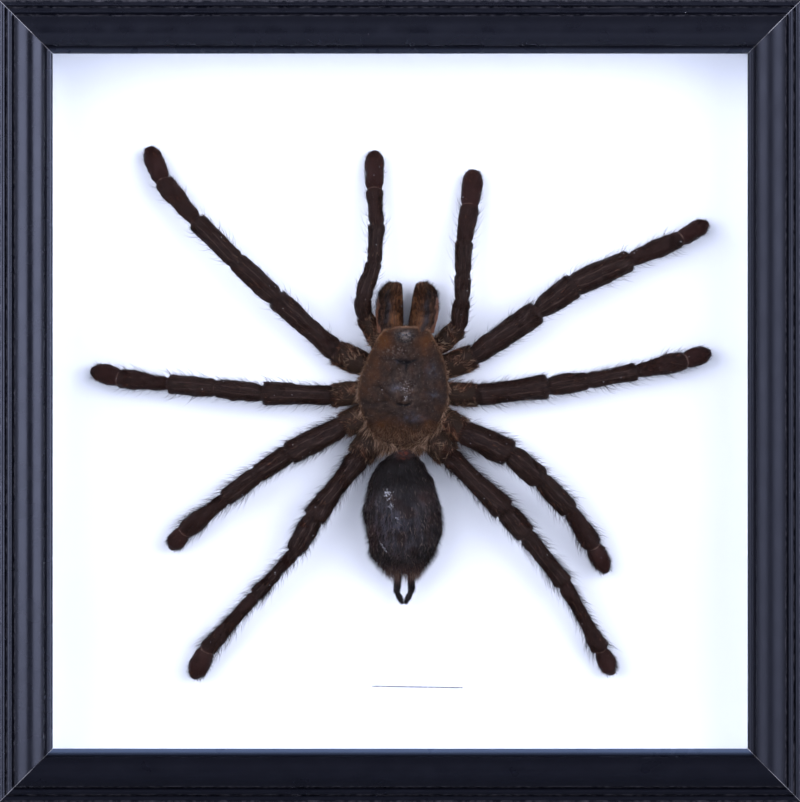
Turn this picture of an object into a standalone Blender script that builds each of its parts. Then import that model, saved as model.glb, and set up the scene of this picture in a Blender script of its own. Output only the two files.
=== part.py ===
"""Framed tarantula specimen.

A glazed box frame stands upright on its bottom rail with its glass facing -Y. Behind the glass,
held off it by four spacer strips, a spread tarantula lies belly down on a white mount card.

The frame is laid out in its own plane: "across" runs to the viewer's right (+X) and "up" is +Z,
both from the centre of the glass. "Depth" runs backwards (+Y) from the front of the moulding, and
the height of the specimen is measured forwards from the face of the mount card.
"""

import math

import bmesh
import bpy
from mathutils import Matrix, Vector

MM = 0.001

# Frame
OUTER = 170.8 * MM  # side of the square frame
DEPTH = 30.0 * MM
FACE = 11.5 * MM  # width of the moulding, seen from the front
WALL = 6.8 * MM  # width of the moulding behind the rebate
LIP_BACK = 5.2 * MM  # depth of the shoulder that the glass bears on
HUMP = (3.4 * MM, 9.6 * MM)  # outer and inner edge of the moulding's main curve
HUMP_SAG = 1.3 * MM
MITRE_GAP = 0.1 * MM  # half of the open joint at each mitre
GAP = 0.3 * MM  # clearance between pieces that touch

# What lies in the rebate, front to back
GLASS = 2.0 * MM
SPACER_DEPTH = 15.5 * MM
SPACER_WIDTH = 3.6 * MM
CARD = 1.2 * MM
BOARD = 3.0 * MM

# Fixings on the back
TAB = (13.0 * MM, 6.0 * MM, 0.4 * MM)  # length, width, thickness
TAB_BITE = 2.6 * MM  # how far a tab is driven into the moulding
TAB_SPREAD = 45.0 * MM  # distance of each tab from the middle of its rail
HANGER = (42.0 * MM, 8.0 * MM, 0.8 * MM)  # length, width, thickness
HANGER_DROP = 24.0 * MM  # from the top of the frame to the middle of the hanger
HANGER_TEETH = 9
NAIL_SPREAD = 17.5 * MM
NAIL_SHANK = 0.6 * MM
NAIL_HEAD = 1.4 * MM
NAIL_LENGTH = 3.0 * MM

# Specimen
LOFT_SIDES = 10
BODY_SIDES = 20
TURN = math.radians(-4.0)  # the front of the body leans a little to the right
CARAPACE_AT = (0.5 * MM, 3.3 * MM)
CARAPACE_LENGTH = 24.2 * MM
CARAPACE_WIDTH = 19.0 * MM
BRIM = 6.0 * MM  # height of the carapace's edge
DOME = 3.2 * MM  # rise of the carapace above its edge
ABDOMEN_AT = (0.6 * MM, -23.4 * MM)
ABDOMEN_LENGTH = 24.6 * MM
ABDOMEN_WIDTH = 17.2 * MM
ABDOMEN_HEIGHT = 12.4 * MM
WAIST_WIDTH = 2.2 * MM
WAIST_HEIGHT = 3.5 * MM
CHELICERA = (9.8 * MM, 6.0 * MM, 6.6 * MM)  # length, width, height
CHELICERAE_AT = (1.4 * MM, 15.75 * MM)
CHELICERA_SPREAD = 3.7 * MM
FANG_LENGTH = 5.0 * MM
SPINNERET_LENGTH = 6.4 * MM

SPECIMEN_SCALE = 1.0095  # from the layout below to the specimen as it lies on the card
SPECIMEN_AT = (0.12 * MM, -0.28 * MM)

# Each limb from the body outwards: where it starts, then for each of its six pieces the length and
# the width in millimetres and the heading in degrees, counter-clockwise from +X.
LIMBS = {
    "palp_left": ((-3.7, 10.6), (
        (8.2, 3.4, 118), (4.0, 3.6, 98), (8.0, 3.7, 72), (8.0, 3.9, 86), (7.5, 3.9, 94), (8.5, 4.3, 90))),
    "palp_right": ((6.1, 10.2), (
        (8.0, 3.4, 42), (6.0, 3.8, 81), (5.5, 3.8, 89), (7.0, 4.1, 88), (7.5, 4.3, 80), (8.0, 4.7, 84))),
    "leg_left_1": ((-4.7, 6.6), (
        (9.8, 4.0, 156), (17.0, 4.7, 138), (11.5, 4.7, 137), (12.0, 4.4, 135), (11.0, 4.2, 130), (8.0, 4.2, 113))),
    "leg_left_2": ((-5.2, 2.6), (
        (9.4, 4.0, 187), (14.5, 4.6, 178), (10.0, 4.2, 174), (10.0, 4.1, 175), (10.5, 4.1, 173), (6.5, 4.3, 165))),
    "leg_left_3": ((-5.0, -1.3), (
        (7.9, 4.0, 207), (13.0, 4.8, 207), (8.0, 4.3, 213), (8.5, 4.0, 217), (11.0, 4.0, 219), (5.0, 4.1, 230))),
    "leg_left_4": ((-4.3, -4.9), (
        (8.0, 4.0, 236), (16.0, 4.7, 233), (8.5, 4.5, 241), (12.0, 3.5, 228), (15.5, 3.6, 228), (7.0, 4.4, 245))),
    "leg_right_1": ((6.2, 6.2), (
        (9.8, 4.0, 21), (16.5, 5.3, 35), (9.5, 5.5, 36), (13.0, 5.2, 24), (11.5, 4.2, 23), (7.0, 4.0, 30))),
    "leg_right_2": ((6.4, 2.2), (
        (9.7, 4.0, -4), (15.0, 5.0, 7), (8.5, 4.5, 8), (10.5, 4.0, 11), (10.5, 4.1, 13), (6.0, 4.2, 17))),
    "leg_right_3": ((5.7, -1.7), (
        (8.6, 4.0, -31), (11.0, 5.0, -25), (8.5, 5.0, -40), (9.0, 4.7, -47), (9.0, 4.4, -56), (6.5, 4.3, -64))),
    "leg_right_4": ((4.7, -5.1), (
        (8.1, 4.0, -49), (16.5, 4.8, -44), (7.0, 4.8, -49), (13.0, 3.8, -52), (16.0, 3.7, -61), (6.0, 4.0, -64))),
}
# Height of a limb's middle line at its start and at the end of each piece
LIMB_HEIGHTS = (3.1, 4.2, 6.9, 7.0, 5.6, 3.6, 2.5)

# Colours (linear RGB), roughness and metallic value
BLACK = ((0.018, 0.019, 0.026), 0.38, 0.0)
WHITE = ((0.86, 0.88, 0.93), 0.80, 0.0)
CLEAR = ((0.90, 0.95, 0.94), 0.03, 0.0)
HARDBOARD = ((0.24, 0.14, 0.075), 0.75, 0.0)
STEEL = ((0.55, 0.55, 0.56), 0.35, 1.0)
BRASS = ((0.72, 0.50, 0.20), 0.35, 1.0)
CUTICLE = ((0.030, 0.017, 0.013), 0.60, 0.0)
CARAPACE_BROWN = ((0.060, 0.032, 0.018), 0.55, 0.0)
ABDOMEN_BROWN = ((0.026, 0.019, 0.017), 0.65, 0.0)
FANG_BLACK = ((0.012, 0.008, 0.007), 0.20, 0.0)

CENTRE_UP = OUTER / 2
REBATE = OUTER / 2 - WALL - GAP  # half side of what lies in the rebate
GLASS_FRONT = LIP_BACK + GAP
SPACER_FRONT = GLASS_FRONT + GLASS + GAP
CARD_FRONT = SPACER_FRONT + SPACER_DEPTH + GAP
BOARD_FRONT = CARD_FRONT + CARD + GAP
BOARD_BACK = BOARD_FRONT + BOARD
SIDES = ("bottom", "right", "top", "left")


# ---------------------------------------------------------------- scene and materials


def clear_scene():
    for obj in list(bpy.data.objects):
        bpy.data.objects.remove(obj, do_unlink=True)


def new_collection(name):
    collection = bpy.data.collections.new(name)
    bpy.context.scene.collection.children.link(collection)
    return collection


def new_material(name, finish):
    colour, roughness, metallic = finish
    material = bpy.data.materials.new(name)
    material.use_nodes = True
    shader = material.node_tree.nodes["Principled BSDF"]
    shader.inputs["Base Color"].default_value = (*colour, 1.0)
    shader.inputs["Roughness"].default_value = roughness
    shader.inputs["Metallic"].default_value = metallic
    return material


def add_part(name, data, finish):
    """Link a named object holding this mesh or curve to the specimen's collection."""
    obj = bpy.data.objects.new(name, data)
    data.materials.append(new_material(name, finish))
    PARTS.objects.link(obj)
    return obj


def mesh_from(bm, name):
    bmesh.ops.recalc_face_normals(bm, faces=bm.faces[:])
    mesh = bpy.data.meshes.new(name)
    bm.to_mesh(mesh)
    bm.free()
    return mesh


def in_frame(across, up, depth):
    """World position of a point given in the frame's own plane."""
    return Vector((across, depth - DEPTH / 2, CENTRE_UP + up))


def above_card(across, up, height):
    """World position of a point of the specimen, laid out on the card and given its measured size."""
    return in_frame(across * SPECIMEN_SCALE + SPECIMEN_AT[0], up * SPECIMEN_SCALE + SPECIMEN_AT[1], CARD_FRONT - height)


# ---------------------------------------------------------------- shapes


def cuboid(low, high):
    """Mesh data of a box between two corners."""
    low = Vector(low)
    high = Vector(high)
    bm = bmesh.new()
    bmesh.ops.create_cube(bm, size=1.0)
    bmesh.ops.scale(bm, vec=high - low, verts=bm.verts[:])
    bmesh.ops.translate(bm, vec=(low + high) / 2, verts=bm.verts[:])
    return mesh_from(bm, "cuboid")


def sheet(half, front, thickness):
    """Mesh data of a square sheet lying in the rebate."""
    return cuboid(in_frame(-half, -half, front), in_frame(half, half, front + thickness))


def cutter(name, data):
    obj = bpy.data.objects.new(name, data)
    obj.hide_render = True
    obj.display_type = "WIRE"
    CUTTERS.objects.link(obj)
    return obj


def cut(obj, tool):
    modifier = obj.modifiers.new(tool.name, "BOOLEAN")
    modifier.operation = "DIFFERENCE"
    modifier.object = tool


def arc(centre, radius, start, end, steps):
    """Points on an arc of the moulding's section. 0 degrees is inwards and 90 is forwards."""
    points = []
    for step in range(steps + 1):
        angle = math.radians(start + (end - start) * step / steps)
        points.append((centre[0] + radius * math.cos(angle), centre[1] - radius * math.sin(angle)))
    return points


def plate(name, outlines, thickness, centre, turn, finish):
    """A flat plate facing the back. The first outline is its rim and the others are holes in it."""
    curve = bpy.data.curves.new(name, "CURVE")
    curve.dimensions = "2D"
    curve.fill_mode = "BOTH"
    curve.extrude = thickness / 2
    for outline in outlines:
        spline = curve.splines.new("POLY")
        spline.points.add(len(outline) - 1)
        for point, (x, y) in zip(spline.points, outline):
            point.co = (x, y, 0.0, 1.0)
        spline.use_cyclic_u = True
    obj = add_part(name, curve, finish)
    facing_back = Matrix.Rotation(math.radians(90), 4, "X")
    obj.matrix_world = Matrix.Translation(centre) @ Matrix.Rotation(turn, 4, "Y") @ facing_back
    return obj


def loft(rings):
    """Mesh data of a closed skin over rings of equal length, fanned shut at both ends."""
    bm = bmesh.new()
    loops = [[bm.verts.new(point) for point in ring] for ring in rings]
    count = len(rings[0])
    for near, far in zip(loops, loops[1:]):
        for i in range(count):
            j = (i + 1) % count
            bm.faces.new((near[i], near[j], far[j], far[i]))
    for loop in (loops[0], loops[-1]):
        middle = bm.verts.new(sum((vert.co for vert in loop), Vector()) / count)
        for i in range(count):
            bm.faces.new((loop[i], loop[(i + 1) % count], middle))
    return mesh_from(bm, "loft")


def ring_about(centre, along, width, height, sides=LOFT_SIDES):
    """An elliptical ring square to a direction, its width level with the card."""
    forwards = Vector((0.0, -1.0, 0.0))
    side = along.cross(forwards).normalized()
    lift = side.cross(along).normalized()
    ring = []
    for i in range(sides):
        angle = math.tau * i / sides
        ring.append(centre + side * (width / 2 * math.cos(angle)) + lift * (height / 2 * math.sin(angle)))
    return ring


def smooth_between(stations, at):
    """Value at a place between (place, value) stations, easing from each to the next."""
    for (a, low), (b, high) in zip(stations, stations[1:]):
        if at <= b:
            t = (at - a) / (b - a)
            return low + (high - low) * t * t * (3 - 2 * t)
    return stations[-1][1]


# ---------------------------------------------------------------- frame


def moulding_section():
    """Closed outline of the moulding as (distance inwards, depth), starting at its outer back edge."""
    outer, inner = HUMP
    half = (inner - outer) / 2
    radius = (half ** 2 + HUMP_SAG ** 2) / (2 * HUMP_SAG)
    tilt = math.degrees(math.asin(half / radius))
    section = [(0.0, DEPTH)]
    section += arc((0.80 * MM, 3.3 * MM), 0.80 * MM, 180, 25, 5)
    section += arc((2.40 * MM, 2.75 * MM), 0.80 * MM, 165, 15, 5)
    section.append((3.3 * MM, 2.75 * MM))
    section += arc(((outer + inner) / 2, radius), radius, 90 + tilt, 90 - tilt, 10)
    section += [(9.95 * MM, 1.75 * MM), (10.3 * MM, 2.0 * MM), (10.9 * MM, 2.25 * MM)]
    section += arc((FACE - 0.35 * MM, 2.8 * MM), 0.35 * MM, 70, 0, 3)
    section += [(FACE, LIP_BACK), (WALL, LIP_BACK), (WALL, DEPTH)]
    return section


def rail_data():
    """Mesh data of the bottom rail: the section drawn along +X, with its ends cut to a mitre."""
    bm = bmesh.new()
    rim = [bm.verts.new(in_frame(0.0, inwards - OUTER / 2, depth)) for inwards, depth in moulding_section()]
    start = bm.faces.new(rim)
    grown = bmesh.ops.extrude_face_region(bm, geom=[start])["geom"]
    far = [item for item in grown if isinstance(item, bmesh.types.BMVert)]
    for verts, sign in ((rim, -1), (far, 1)):
        for vert in verts:
            vert.co.x = sign * (OUTER / 2 - vert.co.z - MITRE_GAP)
    return mesh_from(bm, "rail")


def about_centre(quarter):
    """The turn that carries something at the bottom of the frame to another side of it."""
    centre = Vector((0.0, 0.0, CENTRE_UP))
    turn = Matrix.Rotation(-quarter * math.pi / 2, 4, "Y")
    return Matrix.Translation(centre) @ turn @ Matrix.Translation(-centre)


def build_rails():
    """The four rails, each with two slots in its rebate where the board tabs are driven in."""
    half_slot = TAB[1] / 2 + GAP
    slot_front = BOARD_BACK + GAP / 2
    for quarter, side in enumerate(SIDES):
        rail = add_part(f"rail_{side}", rail_data(), BLACK)
        rail.matrix_world = about_centre(quarter)
        for hand in (-1, 1):
            low = in_frame(hand * TAB_SPREAD - half_slot, WALL - OUTER / 2 - TAB_BITE, slot_front)
            high = in_frame(hand * TAB_SPREAD + half_slot, WALL - OUTER / 2 + GAP, slot_front + TAB[2] + GAP)
            tool = cutter(f"slot_{side}_{hand + 1}", cuboid(low, high))
            tool.matrix_world = about_centre(quarter)
            cut(rail, tool)


def build_tabs():
    """Thin steel tabs, pointed where they enter the moulding, that hold the back board in."""
    length, width, thickness = TAB
    tip = 1.2 * MM
    outline = [(-width / 2, 0.0), (-tip, -TAB_BITE), (tip, -TAB_BITE), (width / 2, 0.0),
               (width / 2, length - TAB_BITE), (-width / 2, length - TAB_BITE)]
    depth = BOARD_BACK + GAP + thickness / 2
    for quarter, side in enumerate(SIDES):
        for number, hand in enumerate((-1, 1), 1):
            foot = in_frame(hand * TAB_SPREAD, WALL - OUTER / 2 + GAP, depth)
            centre = about_centre(quarter) @ foot
            plate(f"board_tab_{side}_{number}", [outline], thickness, centre, -quarter * math.pi / 2, STEEL)


def build_filling():
    """Glass, spacer strips, mount card and back board, from the front."""
    add_part("glass", sheet(REBATE, GLASS_FRONT, GLASS), CLEAR)
    inner = REBATE - SPACER_WIDTH
    for sign, name in ((1, "spacer_top"), (-1, "spacer_bottom")):
        low = in_frame(-REBATE, min(sign * inner, sign * REBATE), SPACER_FRONT)
        high = in_frame(REBATE, max(sign * inner, sign * REBATE), SPACER_FRONT + SPACER_DEPTH)
        add_part(name, cuboid(low, high), WHITE)
    for sign, name in ((1, "spacer_right"), (-1, "spacer_left")):
        low = in_frame(min(sign * inner, sign * REBATE), GAP - inner, SPACER_FRONT)
        high = in_frame(max(sign * inner, sign * REBATE), inner - GAP, SPACER_FRONT + SPACER_DEPTH)
        add_part(name, cuboid(low, high), WHITE)
    add_part("mount_card", sheet(REBATE, CARD_FRONT, CARD), WHITE)
    add_part("back_board", sheet(REBATE, BOARD_FRONT, BOARD), HARDBOARD)


def circle(radius, centre, sides):
    points = []
    for i in range(sides):
        angle = math.tau * i / sides
        points.append((centre[0] + radius * math.cos(angle), centre[1] + radius * math.sin(angle)))
    return points


def build_hanger():
    """A sawtooth hanger nailed to the back board: a strip with teeth along its lower edge."""
    length, width, thickness = HANGER
    flat = 5.0 * MM
    pitch = (length - 2 * flat) / HANGER_TEETH
    rim = [(-length / 2, width / 2), (-length / 2, -width / 2), (flat - length / 2, -width / 2)]
    for tooth in range(HANGER_TEETH):
        start = flat - length / 2 + tooth * pitch
        rim += [(start + pitch / 2, 1.4 * MM - width / 2), (start + pitch, -width / 2)]
    rim += [(length / 2, -width / 2), (length / 2, width / 2)]
    holes = [circle(NAIL_SHANK + GAP / 2, (hand * NAIL_SPREAD, 0.0), 12) for hand in (-1, 1)]
    up = OUTER / 2 - HANGER_DROP
    centre = in_frame(0.0, up, BOARD_BACK + GAP / 2 + thickness / 2)
    plate("sawtooth_hanger", [rim, *holes], thickness, centre, 0.0, BRASS)
    board = bpy.data.objects["back_board"]
    for hand, name in ((-1, "left"), (1, "right")):
        bm = bmesh.new()
        bmesh.ops.create_cone(
            bm, cap_ends=True, segments=12, radius1=NAIL_SHANK + GAP / 2,
            radius2=NAIL_SHANK + GAP / 2, depth=2 * NAIL_LENGTH)
        hole = cutter(f"nail_hole_{name}", mesh_from(bm, "nail_hole"))
        hole.rotation_euler = (math.radians(90), 0.0, 0.0)
        hole.location = in_frame(hand * NAIL_SPREAD, up, BOARD_BACK)
        cut(board, hole)
        build_nail(f"hanger_nail_{name}", in_frame(hand * NAIL_SPREAD, up, centre.y + DEPTH / 2 + thickness / 2))


def build_nail(name, seat):
    """A domed nail turned about its own axis, its head just clear of the strip."""
    dome = 0.45 * MM
    under = 0.1 * MM
    point = 0.6 * MM
    profile = [(0.0, under + dome), (NAIL_HEAD * 0.6, under + dome * 0.75), (NAIL_HEAD, under + dome * 0.2),
               (NAIL_HEAD, under), (NAIL_SHANK, under), (NAIL_SHANK, point - NAIL_LENGTH), (0.0, -NAIL_LENGTH)]
    mesh = bpy.data.meshes.new(name)
    edges = [(i, i + 1) for i in range(len(profile) - 1)]
    mesh.from_pydata([(radius, 0.0, height) for radius, height in profile], edges, [])
    nail = add_part(name, mesh, BRASS)
    spin = nail.modifiers.new("turned", "SCREW")
    spin.steps = 12
    spin.render_steps = 12
    spin.use_merge_vertices = True
    spin.merge_threshold = 0.00001
    nail.rotation_euler = (math.radians(-90), 0.0, 0.0)
    nail.location = seat


# ---------------------------------------------------------------- specimen


def carapace_half_width(along):
    """Half width of the carapace, as a share of its greatest, from its rear (0) to its front (1)."""
    stations = ((0.0, 0.36), (0.05, 0.56), (0.14, 0.76), (0.28, 0.93), (0.48, 1.0),
                (0.70, 0.88), (0.88, 0.74), (0.97, 0.58), (1.0, 0.46))
    return smooth_between(stations, along)


def prosoma_ring(share, height):
    """The carapace's outline shrunk to a share of its size, at a height over the card."""
    ring = []
    lean = Matrix.Rotation(TURN, 2)
    for i in range(BODY_SIDES):
        angle = math.tau * (i + 0.5) / BODY_SIDES
        along = (1 - math.cos(angle)) / 2
        half = CARAPACE_WIDTH / 2 * carapace_half_width(along)
        flat = Vector((half * math.copysign(1.0, math.sin(angle)), (along - 0.5) * CARAPACE_LENGTH)) * share
        flat = lean @ flat
        ring.append(above_card(CARAPACE_AT[0] + flat.x, CARAPACE_AT[1] + flat.y, height))
    return ring


def build_prosoma():
    """Carapace and breastplate in one: a narrow keel below, then the brim and the low dome over it."""
    rings = [prosoma_ring(0.30, GAP), prosoma_ring(0.40, 1.2 * MM), prosoma_ring(0.43, 4.6 * MM),
             prosoma_ring(0.86, BRIM - 0.6 * MM), prosoma_ring(0.97, BRIM - 0.4 * MM), prosoma_ring(1.0, BRIM)]
    for share in (0.93, 0.80, 0.62, 0.40, 0.16):
        rings.append(prosoma_ring(share, BRIM + DOME * (1 - share ** 2.2)))
    add_part("prosoma", loft(rings), CARAPACE_BROWN)


def build_abdomen():
    """An egg, and in front of it the thin waist that runs in under the carapace."""
    rings = []
    for reach in (8.0 * MM, 4.0 * MM, 1.2 * MM):
        centre = above_card(ABDOMEN_AT[0], ABDOMEN_AT[1] + ABDOMEN_LENGTH / 2 + reach, WAIST_HEIGHT)
        rings.append(ring_about(centre, Vector((0.0, 0.0, -1.0)), WAIST_WIDTH, WAIST_WIDTH, 16))
    stations = ((0.0, 0.20), (0.03, 0.40), (0.12, 0.70), (0.28, 0.92), (0.48, 1.0),
                (0.66, 0.95), (0.82, 0.78), (0.94, 0.52), (1.0, 0.24))
    for place, share in stations:
        up = ABDOMEN_AT[1] + ABDOMEN_LENGTH * (0.5 - place)
        tall = ABDOMEN_HEIGHT * share
        rest = GAP + (ABDOMEN_HEIGHT - tall) * 0.42
        centre = above_card(ABDOMEN_AT[0], up, rest + tall / 2)
        rings.append(ring_about(centre, Vector((0.0, 0.0, -1.0)), ABDOMEN_WIDTH * share, tall, 16))
    add_part("abdomen", loft(rings), ABDOMEN_BROWN)


def build_chelicerae():
    """The two blunt jaw bases in front of the carapace, each with its fang folded under it."""
    length, width, height = CHELICERA
    stations = ((0.0, 0.84), (0.08, 0.95), (0.30, 1.0), (0.65, 1.0), (0.86, 0.86), (0.96, 0.58), (1.0, 0.26))
    for hand, name in ((-1, "left"), (1, "right")):
        heading = math.radians(90 - 2 * hand)
        along = Vector((math.cos(heading), 0.0, math.sin(heading)))
        side = CHELICERAE_AT[0] + hand * CHELICERA_SPREAD
        root = above_card(side, CHELICERAE_AT[1], 5.6 * MM)
        rings = []
        for place, share in stations:
            rings.append(ring_about(root + along * length * place, along, width * share, height * share, 12))
        add_part(f"chelicera_{name}", loft(rings), CARAPACE_BROWN)
        fang = []
        for place, share in ((0.0, 1.0), (0.3, 0.9), (0.6, 0.65), (0.85, 0.35), (1.0, 0.1)):
            drop = 1.5 * MM - 0.7 * MM * math.sin(math.pi * place)
            centre = above_card(side, CHELICERAE_AT[1] + length * 0.8 - FANG_LENGTH * place, drop)
            fang.append(ring_about(centre, Vector((0.0, 0.0, -1.0)), 1.5 * MM * share, 1.4 * MM * share, 8))
        add_part(f"fang_{name}", loft(fang), FANG_BLACK)


def limb_joints(start, pieces):
    """Middle line of a limb: one point at its start and one at the end of each piece."""
    across, up = start
    joints = [above_card(across * MM, up * MM, LIMB_HEIGHTS[0] * MM)]
    for (length, _, heading), height in zip(pieces, LIMB_HEIGHTS[1:]):
        across += length * math.cos(math.radians(heading))
        up += length * math.sin(math.radians(heading))
        joints.append(above_card(across * MM, up * MM, height * MM))
    return joints


def build_limb(name, start, pieces):
    """A limb as one skin that swells along each piece and narrows at each joint."""
    joints = limb_joints(start, pieces)
    ways = [(b - a).normalized() for a, b in zip(joints, joints[1:])]
    last = len(pieces) - 1
    rings = []
    for number, (_, width, _) in enumerate(pieces):
        a, b = joints[number], joints[number + 1]
        before = ways[max(number - 1, 0)]
        after = ways[min(number + 1, last)]
        swell = ((0.06, 0.84, before), (0.30, 1.0, ways[number]), (0.72, 1.0, ways[number]), (0.94, 0.88, after))
        if number == last:
            swell = ((0.08, 0.84, before), (0.35, 1.0, ways[number]), (0.70, 1.0, ways[number]),
                     (0.90, 0.76, ways[number]), (0.99, 0.34, ways[number]))
        for place, share, lean in swell:
            across = width * MM * share
            rings.append(ring_about(a.lerp(b, place), (ways[number] + lean).normalized(), across, across * 0.92))
    add_part(name, loft(rings), CUTICLE)


def build_spinnerets():
    """Two slender tapering spinnerets at the tail, bowed so that their tips nearly meet."""
    for hand, name in ((-1, "left"), (1, "right")):
        rings = []
        for place, share in ((0.0, 1.0), (0.3, 0.95), (0.6, 0.85), (0.85, 0.6), (1.0, 0.25)):
            bow = 0.45 * MM * math.sin(math.pi * place) - 0.75 * MM * place ** 2
            across = ABDOMEN_AT[0] + hand * (1.35 * MM + bow)
            up = ABDOMEN_AT[1] - ABDOMEN_LENGTH / 2 - GAP - SPINNERET_LENGTH * place
            centre = above_card(across, up, 4.6 * MM - 0.8 * MM * place)
            rings.append(ring_about(centre, Vector((0.0, 0.0, -1.0)), 1.3 * MM * share, 1.3 * MM * share, 8))
        add_part(f"spinneret_{name}", loft(rings), ABDOMEN_BROWN)


clear_scene()
PARTS = new_collection("framed_tarantula_specimen")
CUTTERS = new_collection("cutters")

build_rails()
build_filling()
build_tabs()
build_hanger()
build_prosoma()
build_abdomen()
build_chelicerae()
for limb, (origin, segments) in LIMBS.items():
    build_limb(limb, origin, segments)
build_spinnerets()
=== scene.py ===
"""Looks of the framed tarantula specimen: moulding, glass, card, fixings, and the spider with its hairs.

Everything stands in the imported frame, in metres. The specimen is laid out as in the CAD source, in
millimetres: "across" runs to the viewer's right and "up" upwards, both from the middle of the frame, and
"height" runs forwards from the face of the mount card.
"""

import math
from types import SimpleNamespace

import bmesh
import bpy
import numpy as np
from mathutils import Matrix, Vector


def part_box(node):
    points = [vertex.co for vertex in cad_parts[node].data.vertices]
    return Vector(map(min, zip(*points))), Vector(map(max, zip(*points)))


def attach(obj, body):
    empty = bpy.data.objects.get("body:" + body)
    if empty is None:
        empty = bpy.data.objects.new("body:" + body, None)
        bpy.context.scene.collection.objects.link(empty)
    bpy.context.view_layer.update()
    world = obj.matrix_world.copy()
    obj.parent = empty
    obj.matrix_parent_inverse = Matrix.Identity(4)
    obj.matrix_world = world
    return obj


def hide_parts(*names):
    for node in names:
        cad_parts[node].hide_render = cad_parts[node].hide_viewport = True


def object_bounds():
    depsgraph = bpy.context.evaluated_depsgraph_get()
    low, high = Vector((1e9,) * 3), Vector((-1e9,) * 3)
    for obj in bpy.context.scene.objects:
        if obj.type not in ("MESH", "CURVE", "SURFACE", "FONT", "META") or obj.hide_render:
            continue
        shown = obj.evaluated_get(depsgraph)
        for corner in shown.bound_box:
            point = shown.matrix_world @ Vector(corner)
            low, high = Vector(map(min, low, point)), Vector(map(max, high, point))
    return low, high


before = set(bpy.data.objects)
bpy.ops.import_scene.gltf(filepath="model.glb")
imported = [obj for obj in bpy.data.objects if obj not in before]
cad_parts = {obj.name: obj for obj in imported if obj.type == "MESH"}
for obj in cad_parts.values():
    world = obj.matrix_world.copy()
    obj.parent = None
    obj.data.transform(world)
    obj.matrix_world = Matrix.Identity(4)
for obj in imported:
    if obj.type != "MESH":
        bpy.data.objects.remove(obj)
CAD_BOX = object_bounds()

MM = 0.001
CENTRE = (CAD_BOX[0] + CAD_BOX[1]) / 2
SIDE = CAD_BOX[1].x - CAD_BOX[0].x  # outer side of the square frame
FRONT = CAD_BOX[0].y
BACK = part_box("rail_top")[1].y
CARD_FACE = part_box("mount_card")[0].y
TAU = math.tau

# The moulding's section, in millimetres inwards from its outer edge and back from its front
FACE = 11.5
WALL = 6.8
LIP_BACK = 5.2
BEAD = 0.80  # radius of the two beads and of the lip
MITRE_GAP = 0.03  # how far each rail's end stops short of the mitre
HUMP = (3.4, 9.7)
HUMP_SAG = 1.3
# Each rail's gloss, its roughness and how strongly its inner edge is lightened by a painted reflection of the
# white card
LACQUER = {"left": (0.46, 0.22, 0.10), "right": (0.30, 0.34, 0.0), "top": (0.36, 0.24, 0.12),
           "bottom": (0.17, 0.26, 1.0)}
ARRISES = (0.3, 1.62, 3.35)  # distances inwards at which the black is rubbed

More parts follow.
